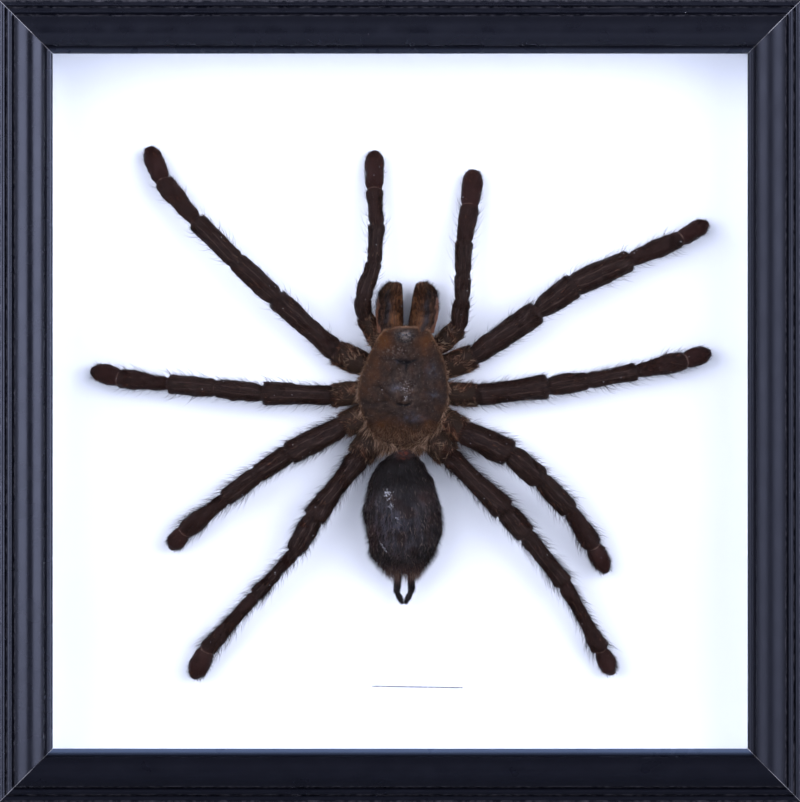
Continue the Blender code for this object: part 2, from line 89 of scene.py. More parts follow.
# Each limb from the body outwards: where it starts, then for each of its six pieces the length, the heading
# in degrees counter-clockwise from across, and four widths from the piece's near end to its far end.
LIMBS = {
    "palp_left": ((-3.7, 10.6), (
        (8.2, 118, (3.4, 4.0, 4.2, 4.1)), (4.0, 98, (3.5, 3.7, 3.9, 4.0)),
        (8.0, 72, (4.0, 4.0, 3.7, 3.7)), (8.0, 86, (3.4, 3.4, 3.6, 4.0)),
        (7.5, 94, (3.7, 3.4, 3.6, 3.9)), (8.5, 90, (3.8, 4.4, 4.4, 3.3)))),
    "palp_right": ((6.1, 10.2), (
        (8.0, 42, (3.6, 4.2, 4.6, 4.5)), (6.0, 81, (3.6, 3.8, 3.9, 3.8)),
        (5.5, 89, (3.6, 3.7, 3.7, 3.7)), (7.0, 88, (3.6, 3.8, 4.0, 4.0)),
        (7.5, 80, (3.7, 4.0, 4.2, 4.3)), (8.0, 84, (4.2, 4.7, 4.7, 3.5)))),
    "leg_left_1": ((-4.7, 6.6), (
        (9.8, 156, (4.6, 5.4, 5.8, 5.5)), (17.0, 138, (5.0, 4.4, 4.8, 5.0)),
        (11.5, 137, (4.5, 4.8, 4.8, 4.4)), (12.0, 135, (4.3, 4.3, 4.4, 4.6)),
        (11.0, 130, (3.5, 3.9, 4.5, 4.5)), (8.0, 113, (3.9, 4.4, 4.3, 3.1)))),
    "leg_left_2": ((-5.2, 2.6), (
        (9.4, 187, (4.6, 5.0, 5.3, 5.2)), (14.5, 178, (4.6, 4.4, 5.0, 5.3)),
        (10.0, 174, (4.0, 4.5, 4.5, 4.1)), (10.0, 175, (4.1, 4.5, 4.4, 4.4)),
        (10.5, 173, (3.4, 3.5, 4.4, 4.2)), (6.5, 165, (4.0, 4.6, 4.2, 2.8)))),
    "leg_left_3": ((-5.0, -1.3), (
        (7.9, 207, (4.8, 5.4, 5.8, 5.6)), (13.0, 207, (4.8, 5.2, 5.4, 5.2)),
        (8.0, 213, (4.6, 4.5, 4.4, 4.0)), (8.5, 217, (4.0, 4.1, 4.1, 4.0)),
        (11.0, 219, (3.2, 3.3, 4.4, 4.0)), (5.0, 230, (4.0, 4.2, 4.1, 3.0)))),
    "leg_left_4": ((-4.3, -4.9), (
        (8.0, 236, (5.2, 6.0, 6.3, 6.0)), (16.0, 233, (5.3, 4.2, 4.6, 5.4)),
        (8.5, 241, (4.6, 4.9, 4.5, 3.9)), (12.0, 228, (3.1, 2.6, 2.9, 3.7)),
        (15.5, 228, (3.0, 2.9, 3.4, 4.0)), (7.0, 245, (4.0, 4.6, 4.4, 3.3)))),
    "leg_right_1": ((6.2, 6.2), (
        (9.8, 21, (4.8, 5.5, 5.9, 5.4)), (16.5, 35, (4.6, 5.2, 5.5, 5.4)),
        (9.5, 36, (4.4, 5.2, 5.7, 5.9)), (13.0, 24, (5.4, 5.5, 5.3, 4.6)),
        (11.5, 23, (3.6, 3.9, 4.3, 3.7)), (7.0, 30, (3.7, 4.0, 3.9, 2.8)))),
    "leg_right_2": ((6.4, 2.2), (
        (9.7, -4, (4.6, 5.1, 5.4, 5.3)), (15.0, 7, (5.0, 4.9, 5.1, 5.7)),
        (8.5, 8, (4.3, 4.7, 4.4, 4.0)), (10.5, 11, (3.9, 3.8, 3.8, 4.2)),
        (10.5, 13, (3.2, 3.7, 4.5, 4.0)), (6.0, 17, (4.0, 4.3, 4.0, 2.8)))),
    "leg_right_3": ((5.7, -1.7), (
        (8.6, -31, (4.9, 5.6, 6.0, 5.9)), (11.0, -25, (5.4, 5.6, 6.1, 6.1)),
        (8.5, -40, (4.8, 5.1, 5.1, 4.8)), (9.0, -47, (4.4, 4.7, 4.7, 4.4)),
        (9.0, -56, (3.7, 3.9, 4.6, 4.4)), (6.5, -64, (4.2, 4.5, 4.0, 2.7)))),
    "leg_right_4": ((4.7, -5.1), (
        (8.1, -49, (5.2, 6.0, 6.2, 5.6)), (16.5, -44, (4.7, 4.2, 4.8, 5.5)),
        (7.0, -49, (4.7, 5.0, 5.0, 4.7)), (13.0, -52, (4.2, 3.7, 3.8, 4.2)),
        (16.0, -61, (3.4, 3.0, 3.2, 4.2)), (6.0, -64, (3.5, 4.1, 4.1, 2.8)))),
}
LIMB_HEIGHTS = (3.1, 4.2, 6.9, 7.0, 5.6, 3.6, 2.5)
SPECIMEN_SCALE = 1.0095  # from the layout here to the specimen as it lies on the card, as in the CAD source
SPECIMEN_AT = (0.12, -0.28)
SHAG = {"palp": 0.30, "leg_left_1": 0.25, "leg_right_1": 0.40, "leg_left_2": 0.45, "leg_right_2": 0.60,
        "leg_left_3": 1.2, "leg_right_3": 1.1, "leg_left_4": 1.3, "leg_right_4": 1.3}
# For each piece of a limb: length, lift in degrees and thickness of its coat, and length of its bristles
COAT = ((1.35, 9, 0.100, 1.5), (0.95, 15, 0.080, 2.0), (0.85, 15, 0.080, 1.7), (0.90, 17, 0.080, 2.3),
        (0.85, 20, 0.080, 2.1), (0.55, 36, 0.075, 0.9))
COAT_PER_MM = 98
BRISTLES_PER_MM = 34
LIMB_REDDISH = (0.35, 0.55, 0.60, 0.65, 0.8, 1.0)  # how reddish the coat of each piece is
RING_STEP = 0.25
WIDTHS_AT = (0.06, 0.36, 0.66, 0.94)  # where a piece's four widths lie along it
HAIR_DEPTH = 0.36  # how much of a limb's measured width is hair
JOINT_SKIN = (0.0, 0.40, 0.45, 0.35, 0.85)  # how much bare pale skin shows at each joint, from the body out
JOINT_ARCH = 0.45  # how much further out a joint lies on top of a limb than at its sides
STRIPE = 0.052  # where the two bare lines along a limb lie, as a share of the way round from its top

# The carapace's edge and the abdomen's, as rows of place up, middle and half width
CARAPACE_EDGE = ((-9.6, 0.3, 0.6), (-9.2, 0.3, 2.6), (-7.9, 0.3, 5.0), (-5.4, 0.45, 7.3), (-2.9, 0.45, 8.6),
                 (-0.4, 0.5, 9.25), (2.1, 0.55, 9.6), (4.6, 0.6, 9.3), (8.1, 0.95, 8.4), (11.1, 1.0, 7.2),
                 (13.1, 1.0, 6.2), (14.6, 1.1, 5.3), (15.6, 1.3, 4.2), (16.0, 1.4, 2.4), (16.15, 1.4, 0.6))
CARAPACE_AT = (0.6, 3.2)  # the middle from which it spreads to its edge
BRIM = 6.0  # height of its rim over the card, behind
DOME = 3.2  # how far its crown stands above that
EYE_LIFT = 3.1  # the eyes stand on the mound, this far above the rim where they are set
ABDOMEN_EDGE = ((-11.1, 0.5, 2.7), (-11.5, 0.4, 3.2), (-12.5, 0.2, 4.3), (-14.8, 0.0, 5.8),
                (-17.1, 0.1, 6.85), (-19.4, 0.15, 7.35), (-21.7, 0.25, 8.05), (-24.1, 0.4, 8.15),
                (-26.4, 0.75, 7.9), (-28.7, 0.65, 7.35), (-31.0, 0.4, 6.8), (-33.0, 0.35, 5.6),
                (-34.6, 0.5, 3.9), (-35.7, 0.6, 2.3), (-36.2, 0.7, 0.9))
ABDOMEN_HEIGHT = 12.4
WAIST = (2.2, 3.5)  # width and height over the card
# The caption's plain rule: its length and thickness, its place and its turn
CAPTION = (19.5, 0.32)
CAPTION_AT = (CENTRE.x + 3.7 * MM, 0.0, CENTRE.z - 61.0 * MM)
CAPTION_TURN = (0.0, math.radians(1.0), 0.0)
# Each jaw base, as rows of place up, inner edge and outer edge
JAWS = {
    "left": ((14.6, 0.75, -5.0), (16.5, 0.63, -5.3), (20.1, 0.55, -5.35), (21.9, 0.45, -5.15),
             (23.2, 0.40, -4.45), (24.1, 0.28, -3.6), (24.6, 0.0, -3.0), (24.9, -0.8, -2.3)),
    "right": ((14.6, 1.35, 7.1), (16.5, 1.55, 7.5), (20.1, 2.20, 8.15), (21.9, 2.45, 8.05),
              (23.2, 2.75, 7.55), (24.1, 3.05, 6.8), (24.6, 3.4, 6.1), (24.9, 4.2, 5.4)),
}


# ---------------------------------------------------------------- arrays


def unit(vectors):
    return vectors / np.maximum(np.linalg.norm(vectors, axis=-1, keepdims=True), 1e-12)


def through(stations, at):
    """Values at these places of a smooth curve through (place, value) stations."""
    places, values = np.array(stations, float).T
    if places[0] > places[-1]:
        places, values = places[::-1], values[::-1]
    slopes = np.gradient(values, places)
    at = np.clip(at, places[0], places[-1])
    i = np.clip(np.searchsorted(places, at, side="right") - 1, 0, len(places) - 2)
    gap = places[i + 1] - places[i]
    t = (at - places[i]) / gap
    ends = (1 + 2 * t) * (1 - t) ** 2 * values[i] + t * t * (3 - 2 * t) * values[i + 1]
    return ends + gap * t * (1 - t) * ((1 - t) * slopes[i] - t * slopes[i + 1])


def step_up(low, high, at):
    t = np.clip((at - low) / (high - low), 0, 1)
    return t * t * (3 - 2 * t)


def blob(x, y, centre, size):
    return np.exp(-(((x - centre[0]) / size[0]) ** 2) - ((y - centre[1]) / size[1]) ** 2)


def ridge(off, width):
    """1 where off is zero, fading over about this width to each side."""
    return np.exp(-((off / width) ** 2))


def ripples(points, size, seed):
    """Smooth random values, mostly within 1 of zero, whose features are about this size."""
    rng = np.random.default_rng(seed)
    ways = unit(rng.normal(size=(9, 3))) * rng.uniform(0.7, 1.5, (9, 1))
    phases = rng.uniform(0, TAU, 9)
    return np.sin(points @ ways.T * (TAU / (2 * size)) + phases).sum(-1) / 3


def to_world(points):
    """World positions of points of the frame, given as (across, up, height) in millimetres."""
    points = np.asarray(points, float)
    across, up, height = points.T * MM
    return np.stack([CENTRE.x + across, CARD_FACE - height, CENTRE.z + up], 1)


def on_card(points):
    """World positions of points of the specimen's layout, at its measured size and place."""
    return to_world(np.asarray(points, float) * (SPECIMEN_SCALE, SPECIMEN_SCALE, 1.0) + (*SPECIMEN_AT, 0.0))


def spots(x, y, table):
    """Sum of soft spots, each given as (strength, across, up, half width, half height)."""
    return sum(spot[0] * blob(x, y, spot[1:3], spot[3:]) for spot in table)


def leaning(along, out, degrees, side=0.0):
    """Ways that rise by these degrees from one direction towards another, pushed to the side."""
    lift = np.radians(degrees)[:, None]
    return unit(along * np.cos(lift) + out * np.sin(lift) + side)


# ---------------------------------------------------------------- materials


class Look:
    """A material on the Principled shader, with short calls for the nodes of its pattern."""

    tone = None

    def __init__(self, name, **uniform):
        self.material = bpy.data.materials.new(name)
        self.material.use_nodes = True
        self.tree = self.material.node_tree
        self.shader = self.tree.nodes["Principled BSDF"]
        for socket, value in uniform.items():
            self.put(self.shader.inputs[socket.replace("_", " ")], value)

    def put(self, socket, value):
        if isinstance(value, bpy.types.NodeSocket):
            self.tree.links.new(value, socket)
        elif isinstance(value, tuple) and socket.type == "RGBA":
            socket.default_value = (*value, 1.0)
        else:
            socket.default_value = value

    def node(self, kind, inputs, **settings):
        node = self.tree.nodes.new("ShaderNode" + kind)
        for name, value in settings.items():
            setattr(node, name, value)
        for key, value in inputs.items():
            self.put(node.inputs[key], value)
        return node

    def place(self):
        return self.node("TexCoord", {}).outputs["Object"]

    def flow(self, along=1.0, around=1.0):
        """The skin's own map, stretched: u runs along the piece in centimetres and v once round it."""
        uv = self.node("UVMap", {}, uv_map="flow").outputs["UV"]
        return self.node("Mapping", {"Vector": uv, "Scale": (along, around, 1.0)}).outputs["Vector"]

    def stretched(self, scale):
        return self.node("Mapping", {"Vector": self.place(), "Scale": scale}).outputs["Vector"]

    def parts(self, vector):
        return self.node("SeparateXYZ", {"Vector": vector}).outputs

    def noise(self, scale, detail=3.0, vector=None, rough=0.5):
        inputs = {"Vector": vector or self.place(), "Scale": scale, "Detail": detail, "Roughness": rough}
        return self.node("TexNoise", inputs).outputs["Fac"]

    def value(self, name):
        """A value that give() stored on the mesh."""
        return self.node("Attribute", {}, attribute_name=name).outputs["Fac"]

    def maths(self, operation, a, b=0.0):
        return self.node("Math", {0: a, 1: b}, operation=operation).outputs[0]

    def times(self, a, b):
        return self.maths("MULTIPLY", a, b)

    def gap(self, a, b):
        return self.maths("ABSOLUTE", self.maths("SUBTRACT", a, b))

    def spread(self, value, low, high, to=(0.0, 1.0)):
        inputs = {"Value": value, "From Min": low, "From Max": high, "To Min": to[0], "To Max": to[1]}
        return self.node("MapRange", inputs).outputs["Result"]

    def patches(self, scale, low=0.3, high=0.7, to=(0.0, 1.0), detail=3.0, rough=0.5):
        """Noise of this scale, with what lies between two levels spread over a range."""
        return self.spread(self.noise(scale, detail, rough=rough), low, high, to)

    def mix(self, share, a, b):
        return self.node("Mix", {0: share, 6: a, 7: b}, data_type="RGBA").outputs[2]

    def ramp(self, value, *stops):
        node = self.node("ValToRGB", {"Fac": value})
        elements = node.color_ramp.elements
        while len(elements) < len(stops):
            elements.new(0.5)
        for element, (place, colour) in zip(elements, stops):
            element.position = place
            element.color = (*colour, 1.0)
        return node.outputs["Color"]

    def cover(self, share, colour):
        """Lay a colour over the tone so far, by this share."""
        self.tone = self.mix(share, self.tone, colour)

    def specks(self, scale, share, size):
        """Sparse round dots: this share of cells of 1/scale metres holds a dot of this radius in cells."""
        cells = self.node("TexVoronoi", {"Vector": self.place(), "Scale": scale})
        chosen = self.node("SeparateColor", {"Color": cells.outputs["Color"]}).outputs[0]
        near = self.maths("LESS_THAN", cells.outputs["Distance"], size)
        return self.times(near, self.maths("LESS_THAN", chosen, share))

    def bump(self, height, distance, strength=1.0, normal=None):
        inputs = {"Height": height, "Distance": distance, "Strength": strength}
        if normal:
            inputs["Normal"] = normal
        return self.node("Bump", inputs).outputs["Normal"]

    def finish(self, roughness=None, normal=None):
        for socket, value in (("Base Color", self.tone), ("Roughness", roughness), ("Normal", normal)):
            if value is not None:
                self.put(self.shader.inputs[socket], value)
        return self.material


def moulding_look(side):
    """Satin black, a little rubbed along its arrises, dusty, bare along the mitres, and with a painted
    reflection of the white card along its inner edge.
    """
    gloss, dullness, painted_reflection_share = LACQUER[side]
    look = Look(f"satin_black_{side}", Specular_IOR_Level=gloss, Specular_Tint=(0.78, 0.83, 1.0))
    look.tone = look.mix(look.noise(260.0), (0.0022, 0.0024, 0.0044), (0.0045, 0.0047, 0.0078))
    # Painted reflection: the inner edge is lightened a cool pale tone where it would mirror the white card
    look.cover(look.times(look.value("lip"), painted_reflection_share), (0.070, 0.095, 0.145))
    rubbed = look.times(look.value("arris"), look.patches(900.0, 0.42, 0.72, detail=4.0))
    look.cover(rubbed, (0.075, 0.072, 0.080))
    part = look.parts(look.place())
    off_mitre = look.gap(look.gap(part["X"], CENTRE.x), look.gap(part["Z"], CENTRE.z))
    chipped = look.patches(420.0, 0.35, 0.75, (0.00004, 0.00018))
    look.cover(look.maths("LESS_THAN", off_mitre, chipped), (0.115, 0.108, 0.105))
    look.cover(look.specks(330.0, 0.035, 0.035), (0.33, 0.33, 0.35))
    return look.finish(look.patches(140.0, to=(dullness, dullness + 0.10), detail=4.0),
                       look.bump(look.noise(1700.0), 0.000012))


def glass_look():
    """Clear glass that lets the lamps through, with the faint wave of drawn sheet."""
    look = Look("pane_glass", Base_Color=(0.97, 0.985, 0.98), Roughness=0.0, IOR=1.45,
                Transmission_Weight=1.0)
    look.finish(normal=look.bump(look.noise(14.0, 1.0), 0.00001, 0.5))
    clear = look.node("BsdfTransparent", {"Color": (0.985, 0.99, 0.99)})
    shadow = look.node("LightPath", {}).outputs["Is Shadow Ray"]
    mixed = look.node("MixShader", {0: shadow, 1: look.shader.outputs[0], 2: clear.outputs[0]})
    look.put(look.tree.nodes["Material Output"].inputs["Surface"], mixed.outputs[0])
    return look.material


def card_look():
    """Smooth white card with a faint tooth, a few grains of dust and a printed rule for a caption."""
    look = Look("white_card", Specular_IOR_Level=0.25)
    look.tone = look.mix(look.noise(35.0, 4.0), (0.825, 0.835, 0.850), (0.850, 0.858, 0.870))
    look.cover(look.specks(210.0, 0.04, 0.045), (0.92, 0.93, 0.95))
    look.cover(look.specks(118.0, 0.03, 0.014), (0.16, 0.14, 0.13))
    turned = look.node("Mapping", {"Vector": look.place(), "Location": CAPTION_AT, "Rotation": CAPTION_TURN},
                       vector_type="TEXTURE").outputs["Vector"]
    part = look.parts(turned)
    inside, thin = (look.maths("LESS_THAN", look.maths("ABSOLUTE", part[axis]), size / 2 * MM)
                    for axis, size in zip("XZ", CAPTION))
    look.cover(look.times(look.times(inside, thin), look.patches(4000.0, 0.2, 0.5)), (0.11, 0.115, 0.13))
    tooth = look.bump(look.noise(2600.0, 4.0), 0.00002, 0.5)
    return look.finish(look.patches(500.0, to=(0.62, 0.78)),
                       look.bump(look.noise(60.0, 2.0), 0.00012, 0.25, tooth))


def foam_look():
    """Cut edges of white foam board: fine open cells between two skins."""
    look = Look("foam_board", Specular_IOR_Level=0.2)
    cells = look.node("TexVoronoi", {"Vector": look.place(), "Scale": 1900.0}).outputs["Distance"]
    look.tone = look.mix(look.noise(90.0, 4.0), (0.80, 0.83, 0.87), (0.87, 0.89, 0.92))
    look.cover(look.spread(cells, 0.5, 0.9), (0.70, 0.73, 0.78))
    return look.finish(look.patches(700.0, to=(0.75, 0.92)), look.bump(cells, 0.00006, 0.5))


def hardboard_look():
    """Brown hardboard: pressed fibres, a mottled face and a few pale scuffs."""
    look = Look("hardboard", Specular_IOR_Level=0.3)
    fibres = look.noise(1.0, 5.0, look.stretched((260.0, 260.0, 900.0)), 0.65)
    look.tone = look.ramp(fibres, (0.30, (0.105, 0.058, 0.030)), (0.52, (0.190, 0.110, 0.058)),
                          (0.75, (0.290, 0.180, 0.100)))
    look.cover(look.patches(28.0, 0.45, 0.75, (0.0, 0.5)), (0.130, 0.072, 0.040))
    scuffs = look.noise(1.0, 6.0, look.stretched((40.0, 40.0, 420.0)), 0.7)
    look.cover(look.spread(scuffs, 0.66, 0.72, (0.0, 0.6)), (0.42, 0.31, 0.21))
    return look.finish(look.spread(fibres, 0.3, 0.7, (0.55, 0.85)), look.bump(fibres, 0.00008, 0.6))


def metal_look(name, dark, light, tarnish, grain):
    """Rolled sheet metal with scratches along its grain, dull spots and tarnish."""
    look = Look(name, Metallic=1.0)
    scratches = look.noise(1.0, 5.0, look.stretched(grain), 0.7)
    patches = look.noise(420.0, 5.0, rough=0.6)
    look.tone = look.mix(look.spread(scratches, 0.3, 0.7), dark, light)
    look.cover(look.spread(patches, 0.52, 0.70, (0.0, 0.75)), tarnish)
    roughness = look.maths("ADD", look.spread(scratches, 0.3, 0.7, (0.22, 0.40)),
                           look.spread(patches, 0.5, 0.7, (0.0, 0.25)))
    return look.finish(roughness, look.bump(scratches, 0.000015, 0.7))


def limb_look():
    """Dark leathery cuticle with two bare lines along its top, a tan skin at each joint, and a redder tip."""
    look = Look("limb_cuticle", Specular_IOR_Level=0.06)
    streaks = look.noise(1.0, 5.0, look.flow(5.0, 46.0), 0.6)
    look.tone = look.ramp(streaks, (0.32, (0.0060, 0.0028, 0.0020)), (0.55, (0.0150, 0.0072, 0.0050)),
                          (0.78, (0.034, 0.0185, 0.0130)))
    look.cover(look.value("tip"), (0.0180, 0.0062, 0.0044))
    look.cover(look.value("root"), (0.0160, 0.0085, 0.0050))
    wander = look.patches(260.0, to=(-0.016, 0.016), detail=2.0)
    around = look.maths("ADD", look.parts(look.flow())["Y"], wander)
    line = look.spread(look.gap(look.gap(around, 0.5), STRIPE), 0.004, 0.013, (1.0, 0.0))
    line = look.times(look.times(line, look.value("striped")), look.patches(500.0, 0.35, 0.60, (0.1, 0.9)))
    look.cover(line, (0.042, 0.026, 0.021))
    skin = look.spread(look.times(look.value("joint"), look.noise(900.0)), 0.20, 0.50, (0.0, 0.85))
    look.cover(skin, (0.170, 0.105, 0.080))
    look.cover(look.specks(300.0, 0.05, 0.030), (0.75, 0.75, 0.78))
    fine = look.bump(look.noise(5200.0), 0.00003, 0.6)
    return look.finish(look.spread(streaks, 0.3, 0.75, (0.60, 0.42)), look.bump(streaks, 0.00012, 0.7, fine))


def hair_look(name, *stops):
    """Hair whose colour runs from dark to pale with each hair's own shade; some is reddish."""
    look = Look(name, Specular_IOR_Level=0.035)
    drift = look.patches(600.0, to=(-0.06, 0.06), detail=2.0)
    look.tone = look.ramp(look.maths("ADD", look.value("shade"), drift), *stops)
    redder = look.node("Mix", {0: 1.0, 6: look.tone, 7: (1.05, 0.62, 0.50)}, data_type="RGBA",
                       blend_type="MULTIPLY").outputs[2]
    look.cover(look.value("reddish"), redder)
    return look.finish(look.patches(3000.0, to=(0.42, 0.62)))


def carapace_look():
    """Dark brown shell, orange-brown at its shoulders, with black grooves, pale flecks and a painted
    blue-tinted sheen.
    """
    look = Look("carapace", Specular_IOR_Level=0.05)
    mottle = look.noise(1000.0, 6.0, rough=0.7)
    look.tone = look.ramp(mottle, (0.32, (0.0078, 0.0042, 0.0030)), (0.50, (0.0165, 0.0092, 0.0060)),
                          (0.68, (0.035, 0.0205, 0.0142)))
    amber = look.mix(mottle, (0.027, 0.0085, 0.0022), (0.086, 0.030, 0.0070))
    look.cover(look.times(look.value("amber"), look.patches(450.0, 0.25, 0.60, (0.35, 1.1), 4.0)), amber)
    # Painted sheen: cool pale patches where the shell would catch the lamps
    look.cover(look.times(look.value("painted_sheen"), look.patches(800.0, 0.38, 0.66, detail=4.0)),
               (0.052, 0.058, 0.078))
    look.cover(look.times(look.value("pale"), look.spread(mottle, 0.35, 0.60)), (0.140, 0.115, 0.100))
    look.cover(look.value("dark"), (0.0042, 0.0036, 0.0038))
    look.cover(look.times(look.patches(2100.0, 0.56, 0.66, rough=0.6), look.value("flecks")),
               (0.230, 0.205, 0.190))
    look.cover(look.times(look.patches(1200.0, 0.30, 0.55, (0.2, 0.9), 2.0), look.value("rim")),
               (0.200, 0.110, 0.062))
    look.cover(look.patches(2300.0, 0.66, 0.72, (0.0, 0.5), 2.0), (0.110, 0.095, 0.085))
    fine = look.bump(look.noise(4200.0, 4.0, rough=0.7), 0.00004, 0.7)
    return look.finish(look.spread(mottle, 0.3, 0.7, (0.34, 0.55)), look.bump(mottle, 0.00016, 0.8, fine))


def abdomen_look():
    """Shrunken blackish skin, finely wrinkled lengthwise, with ruddy flanks and a dull painted blue-tinted
    sheen.
    """
    look = Look("abdomen_skin", Specular_IOR_Level=0.09)
    wrinkles = look.noise(1.0, 6.0, look.stretched((1300.0, 1300.0, 300.0)), 0.6)
    look.tone = look.ramp(wrinkles, (0.30, (0.0050, 0.0036, 0.0032)), (0.52, (0.0140, 0.0102, 0.0094)),
                          (0.75, (0.042, 0.034, 0.033)))
    # Painted sheen: a broad cool lightening over the back, where the skin would catch the lamps
    look.cover(look.times(look.value("painted_sheen"), look.spread(wrinkles, 0.3, 0.6)), (0.046, 0.043, 0.052))
    look.cover(look.value("ruddy"), (0.034, 0.0110, 0.0070))
    look.cover(look.value("dark"), (0.0034, 0.0022, 0.0019))
    look.cover(look.times(look.value("waist"), look.patches(1300.0, 0.45, 0.60)), (0.085, 0.024, 0.014))
    fine = look.bump(look.noise(3800.0), 0.00004, 0.6)
    return look.finish(look.spread(wrinkles, 0.3, 0.7, (0.50, 0.36)), look.bump(wrinkles, 0.00026, 0.9, fine))


def jaw_look():
    """Jaw bases: orange-brown fur bands over near-black shell, with a pinkish bare side."""
    look = Look("jaw_shell", Specular_IOR_Level=0.06)
    streaks = look.noise(1.0, 5.0, look.flow(6.0, 44.0), 0.6)
    look.tone = look.ramp(streaks, (0.30, (0.008, 0.0050, 0.0042)), (0.55, (0.020, 0.0130, 0.0105)),
                          (0.78, (0.050, 0.034, 0.027)))
    look.cover(look.times(look.value("amber"), look.spread(streaks, 0.25, 0.60)), (0.105, 0.041, 0.014))
    # Painted sheen: a cool pale band along the jaw where it would catch the lamps
    look.cover(look.value("painted_sheen"), (0.040, 0.042, 0.052))
    look.cover(look.times(look.value("fleshy"), look.patches(700.0, 0.2, 0.6, (0.5, 1.0))),
               (0.135, 0.058, 0.034))
    look.cover(look.value("dark"), (0.0050, 0.0040, 0.0038))
    fine = look.bump(look.noise(4200.0), 0.00004, 0.6)
    return look.finish(look.spread(streaks, 0.3, 0.7, (0.40, 0.58)), look.bump(streaks, 0.00012, 0.6, fine))


def horn_look():
    """Glossy black horn of fangs and eyes."""
    look = Look("horn", Specular_IOR_Level=0.6, Coat_Weight=0.3)
    look.tone = look.mix(look.noise(1400.0), (0.006, 0.004, 0.004), (0.020, 0.011, 0.009))
    return look.finish(look.patches(2600.0, to=(0.12, 0.28)), look.bump(look.noise(5000.0), 0.00001))


def crumb_look():
    """Chalky grains."""
    look = Look("pale_dust", Specular_IOR_Level=0.4)
    look.tone = look.mix(look.noise(2600.0), (0.42, 0.42, 0.45), (0.80, 0.80, 0.84))
    return look.finish(look.patches(1800.0, to=(0.5, 0.8)), look.bump(look.noise(6000.0), 0.00003))


def floor_look():
    look = Look("pale_floor", Specular_IOR_Level=0.2)
    look.tone = look.mix(look.noise(3.0, 4.0), (0.70, 0.715, 0.735), (0.74, 0.75, 0.765))
    return look.finish(look.patches(9.0, to=(0.65, 0.8)), look.bump(look.noise(420.0), 0.0001, 0.2))


# ---------------------------------------------------------------- pieces


def add_piece(name, mesh, material, slot, *nodes):
    """Link a mesh that rides on the frame, takes this material and hides the CAD nodes it stands for. The
    slot is not used.
    """
    obj = bpy.data.objects.new(name, mesh)
    bpy.context.scene.collection.objects.link(obj)
    mesh.materials.append(material)
    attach(obj, "root")
    if nodes:
        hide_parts(*nodes)
    return obj


def new_mesh(name, points, *faces):
    """Mesh of these points and lists of faces."""
    mesh = bpy.data.meshes.new(name)
    mesh.from_pydata(points.tolist(), [], sum((some.tolist() for some in faces), []))
    return mesh


def give(mesh, **values):
    """Store a value for each of the mesh's points, for its material to read."""
    for name, each in values.items():
        attribute = mesh.attributes.new(name, "FLOAT", "POINT")
        attribute.data.foreach_set("value", np.clip(each, 0, 1).astype(np.float32))


def give_skin(mesh, looks):
    """Store values found for a skin's rings. The two points that fan its ends shut get none."""
    give(mesh, **{name: np.append(np.ravel(value), [0.0, 0.0]) for name, value in looks.items()})


def lay_map(mesh, name, uv):
    """Lay a UV map, given for each corner of the mesh's faces."""
    mesh.uv_layers.new(name=name).uv.foreach_set("vector", uv.astype(np.float32).ravel())


def ring_faces(count, sides):
    """Faces between neighbours among so many closed rings."""
    row = np.arange(count - 1)[:, None] * sides
    column = np.arange(sides)[None, :]
    after = (column + 1) % sides
    return np.stack([row + column, row + after, row + after + sides, row + column + sides], -1).reshape(-1, 4)


def skin_mesh(name, rings, lengthwise=None):
    """Mesh of a closed skin over equal rings of laid-out points, fanned shut at both ends."""
    count, sides = rings.shape[:2]
    points = on_card(np.concatenate([rings.reshape(-1, 3), rings[[0, -1]].mean(1)]))
    column = np.arange(sides)
    after = (column + 1) % sides
    last = (count - 1) * sides
    near = np.stack([after, column, np.full(sides, count * sides)], 1)
    far = np.stack([last + column, last + after, np.full(sides, count * sides + 1)], 1)
    mesh = new_mesh(name, points, ring_faces(count, sides), near, far)
    mesh.shade_smooth()
    if lengthwise is not None:
        v = np.stack([column, column + 1, column + 1, column], -1) / sides
        u = np.stack([lengthwise[:-1], lengthwise[:-1], lengthwise[1:], lengthwise[1:]], -1) / 10
        body = np.stack([np.repeat(u[:, None], sides, 1), np.repeat(v[None], count - 1, 0)], -1)
        caps = np.zeros((sides * 6, 2)) + (lengthwise[0] / 10, 0.5)
        lay_map(mesh, "flow", np.concatenate([body.reshape(-1, 2), caps]))
    return mesh


def smoothed(line, weights):
    """Points of a line averaged with their neighbours by these weights."""
    reach = len(weights) // 2
    padded = np.pad(line, ((reach, reach), (0, 0)), mode="reflect", reflect_type="odd")
    return np.stack([np.convolve(axis, weights, "valid") for axis in padded.T], 1)


def tube(middle, widths, heights, arch=0.0):
    """A middle line with its own directions and radii: along it, to its left and over it."""
    along = unit(np.gradient(middle, axis=0))
    left = unit(np.cross((0.0, 0.0, 1.0), along))
    steps = np.linalg.norm(np.diff(middle, axis=0), axis=1)
    return SimpleNamespace(middle=middle, along=along, left=left, over=np.cross(along, left), wide=widths / 2,
                           tall=heights / 2, run=np.concatenate([[0.0], np.cumsum(steps)]), arch=arch)


def straightened(line, up):
    """A tube with its rings set square to the layout. It runs up it (1) or down it (-1)."""
    line.along[:], line.left[:], line.over[:] = (0.0, up, 0.0), (-up, 0.0, 0.0), (0.0, 0.0, 1.0)
    return line


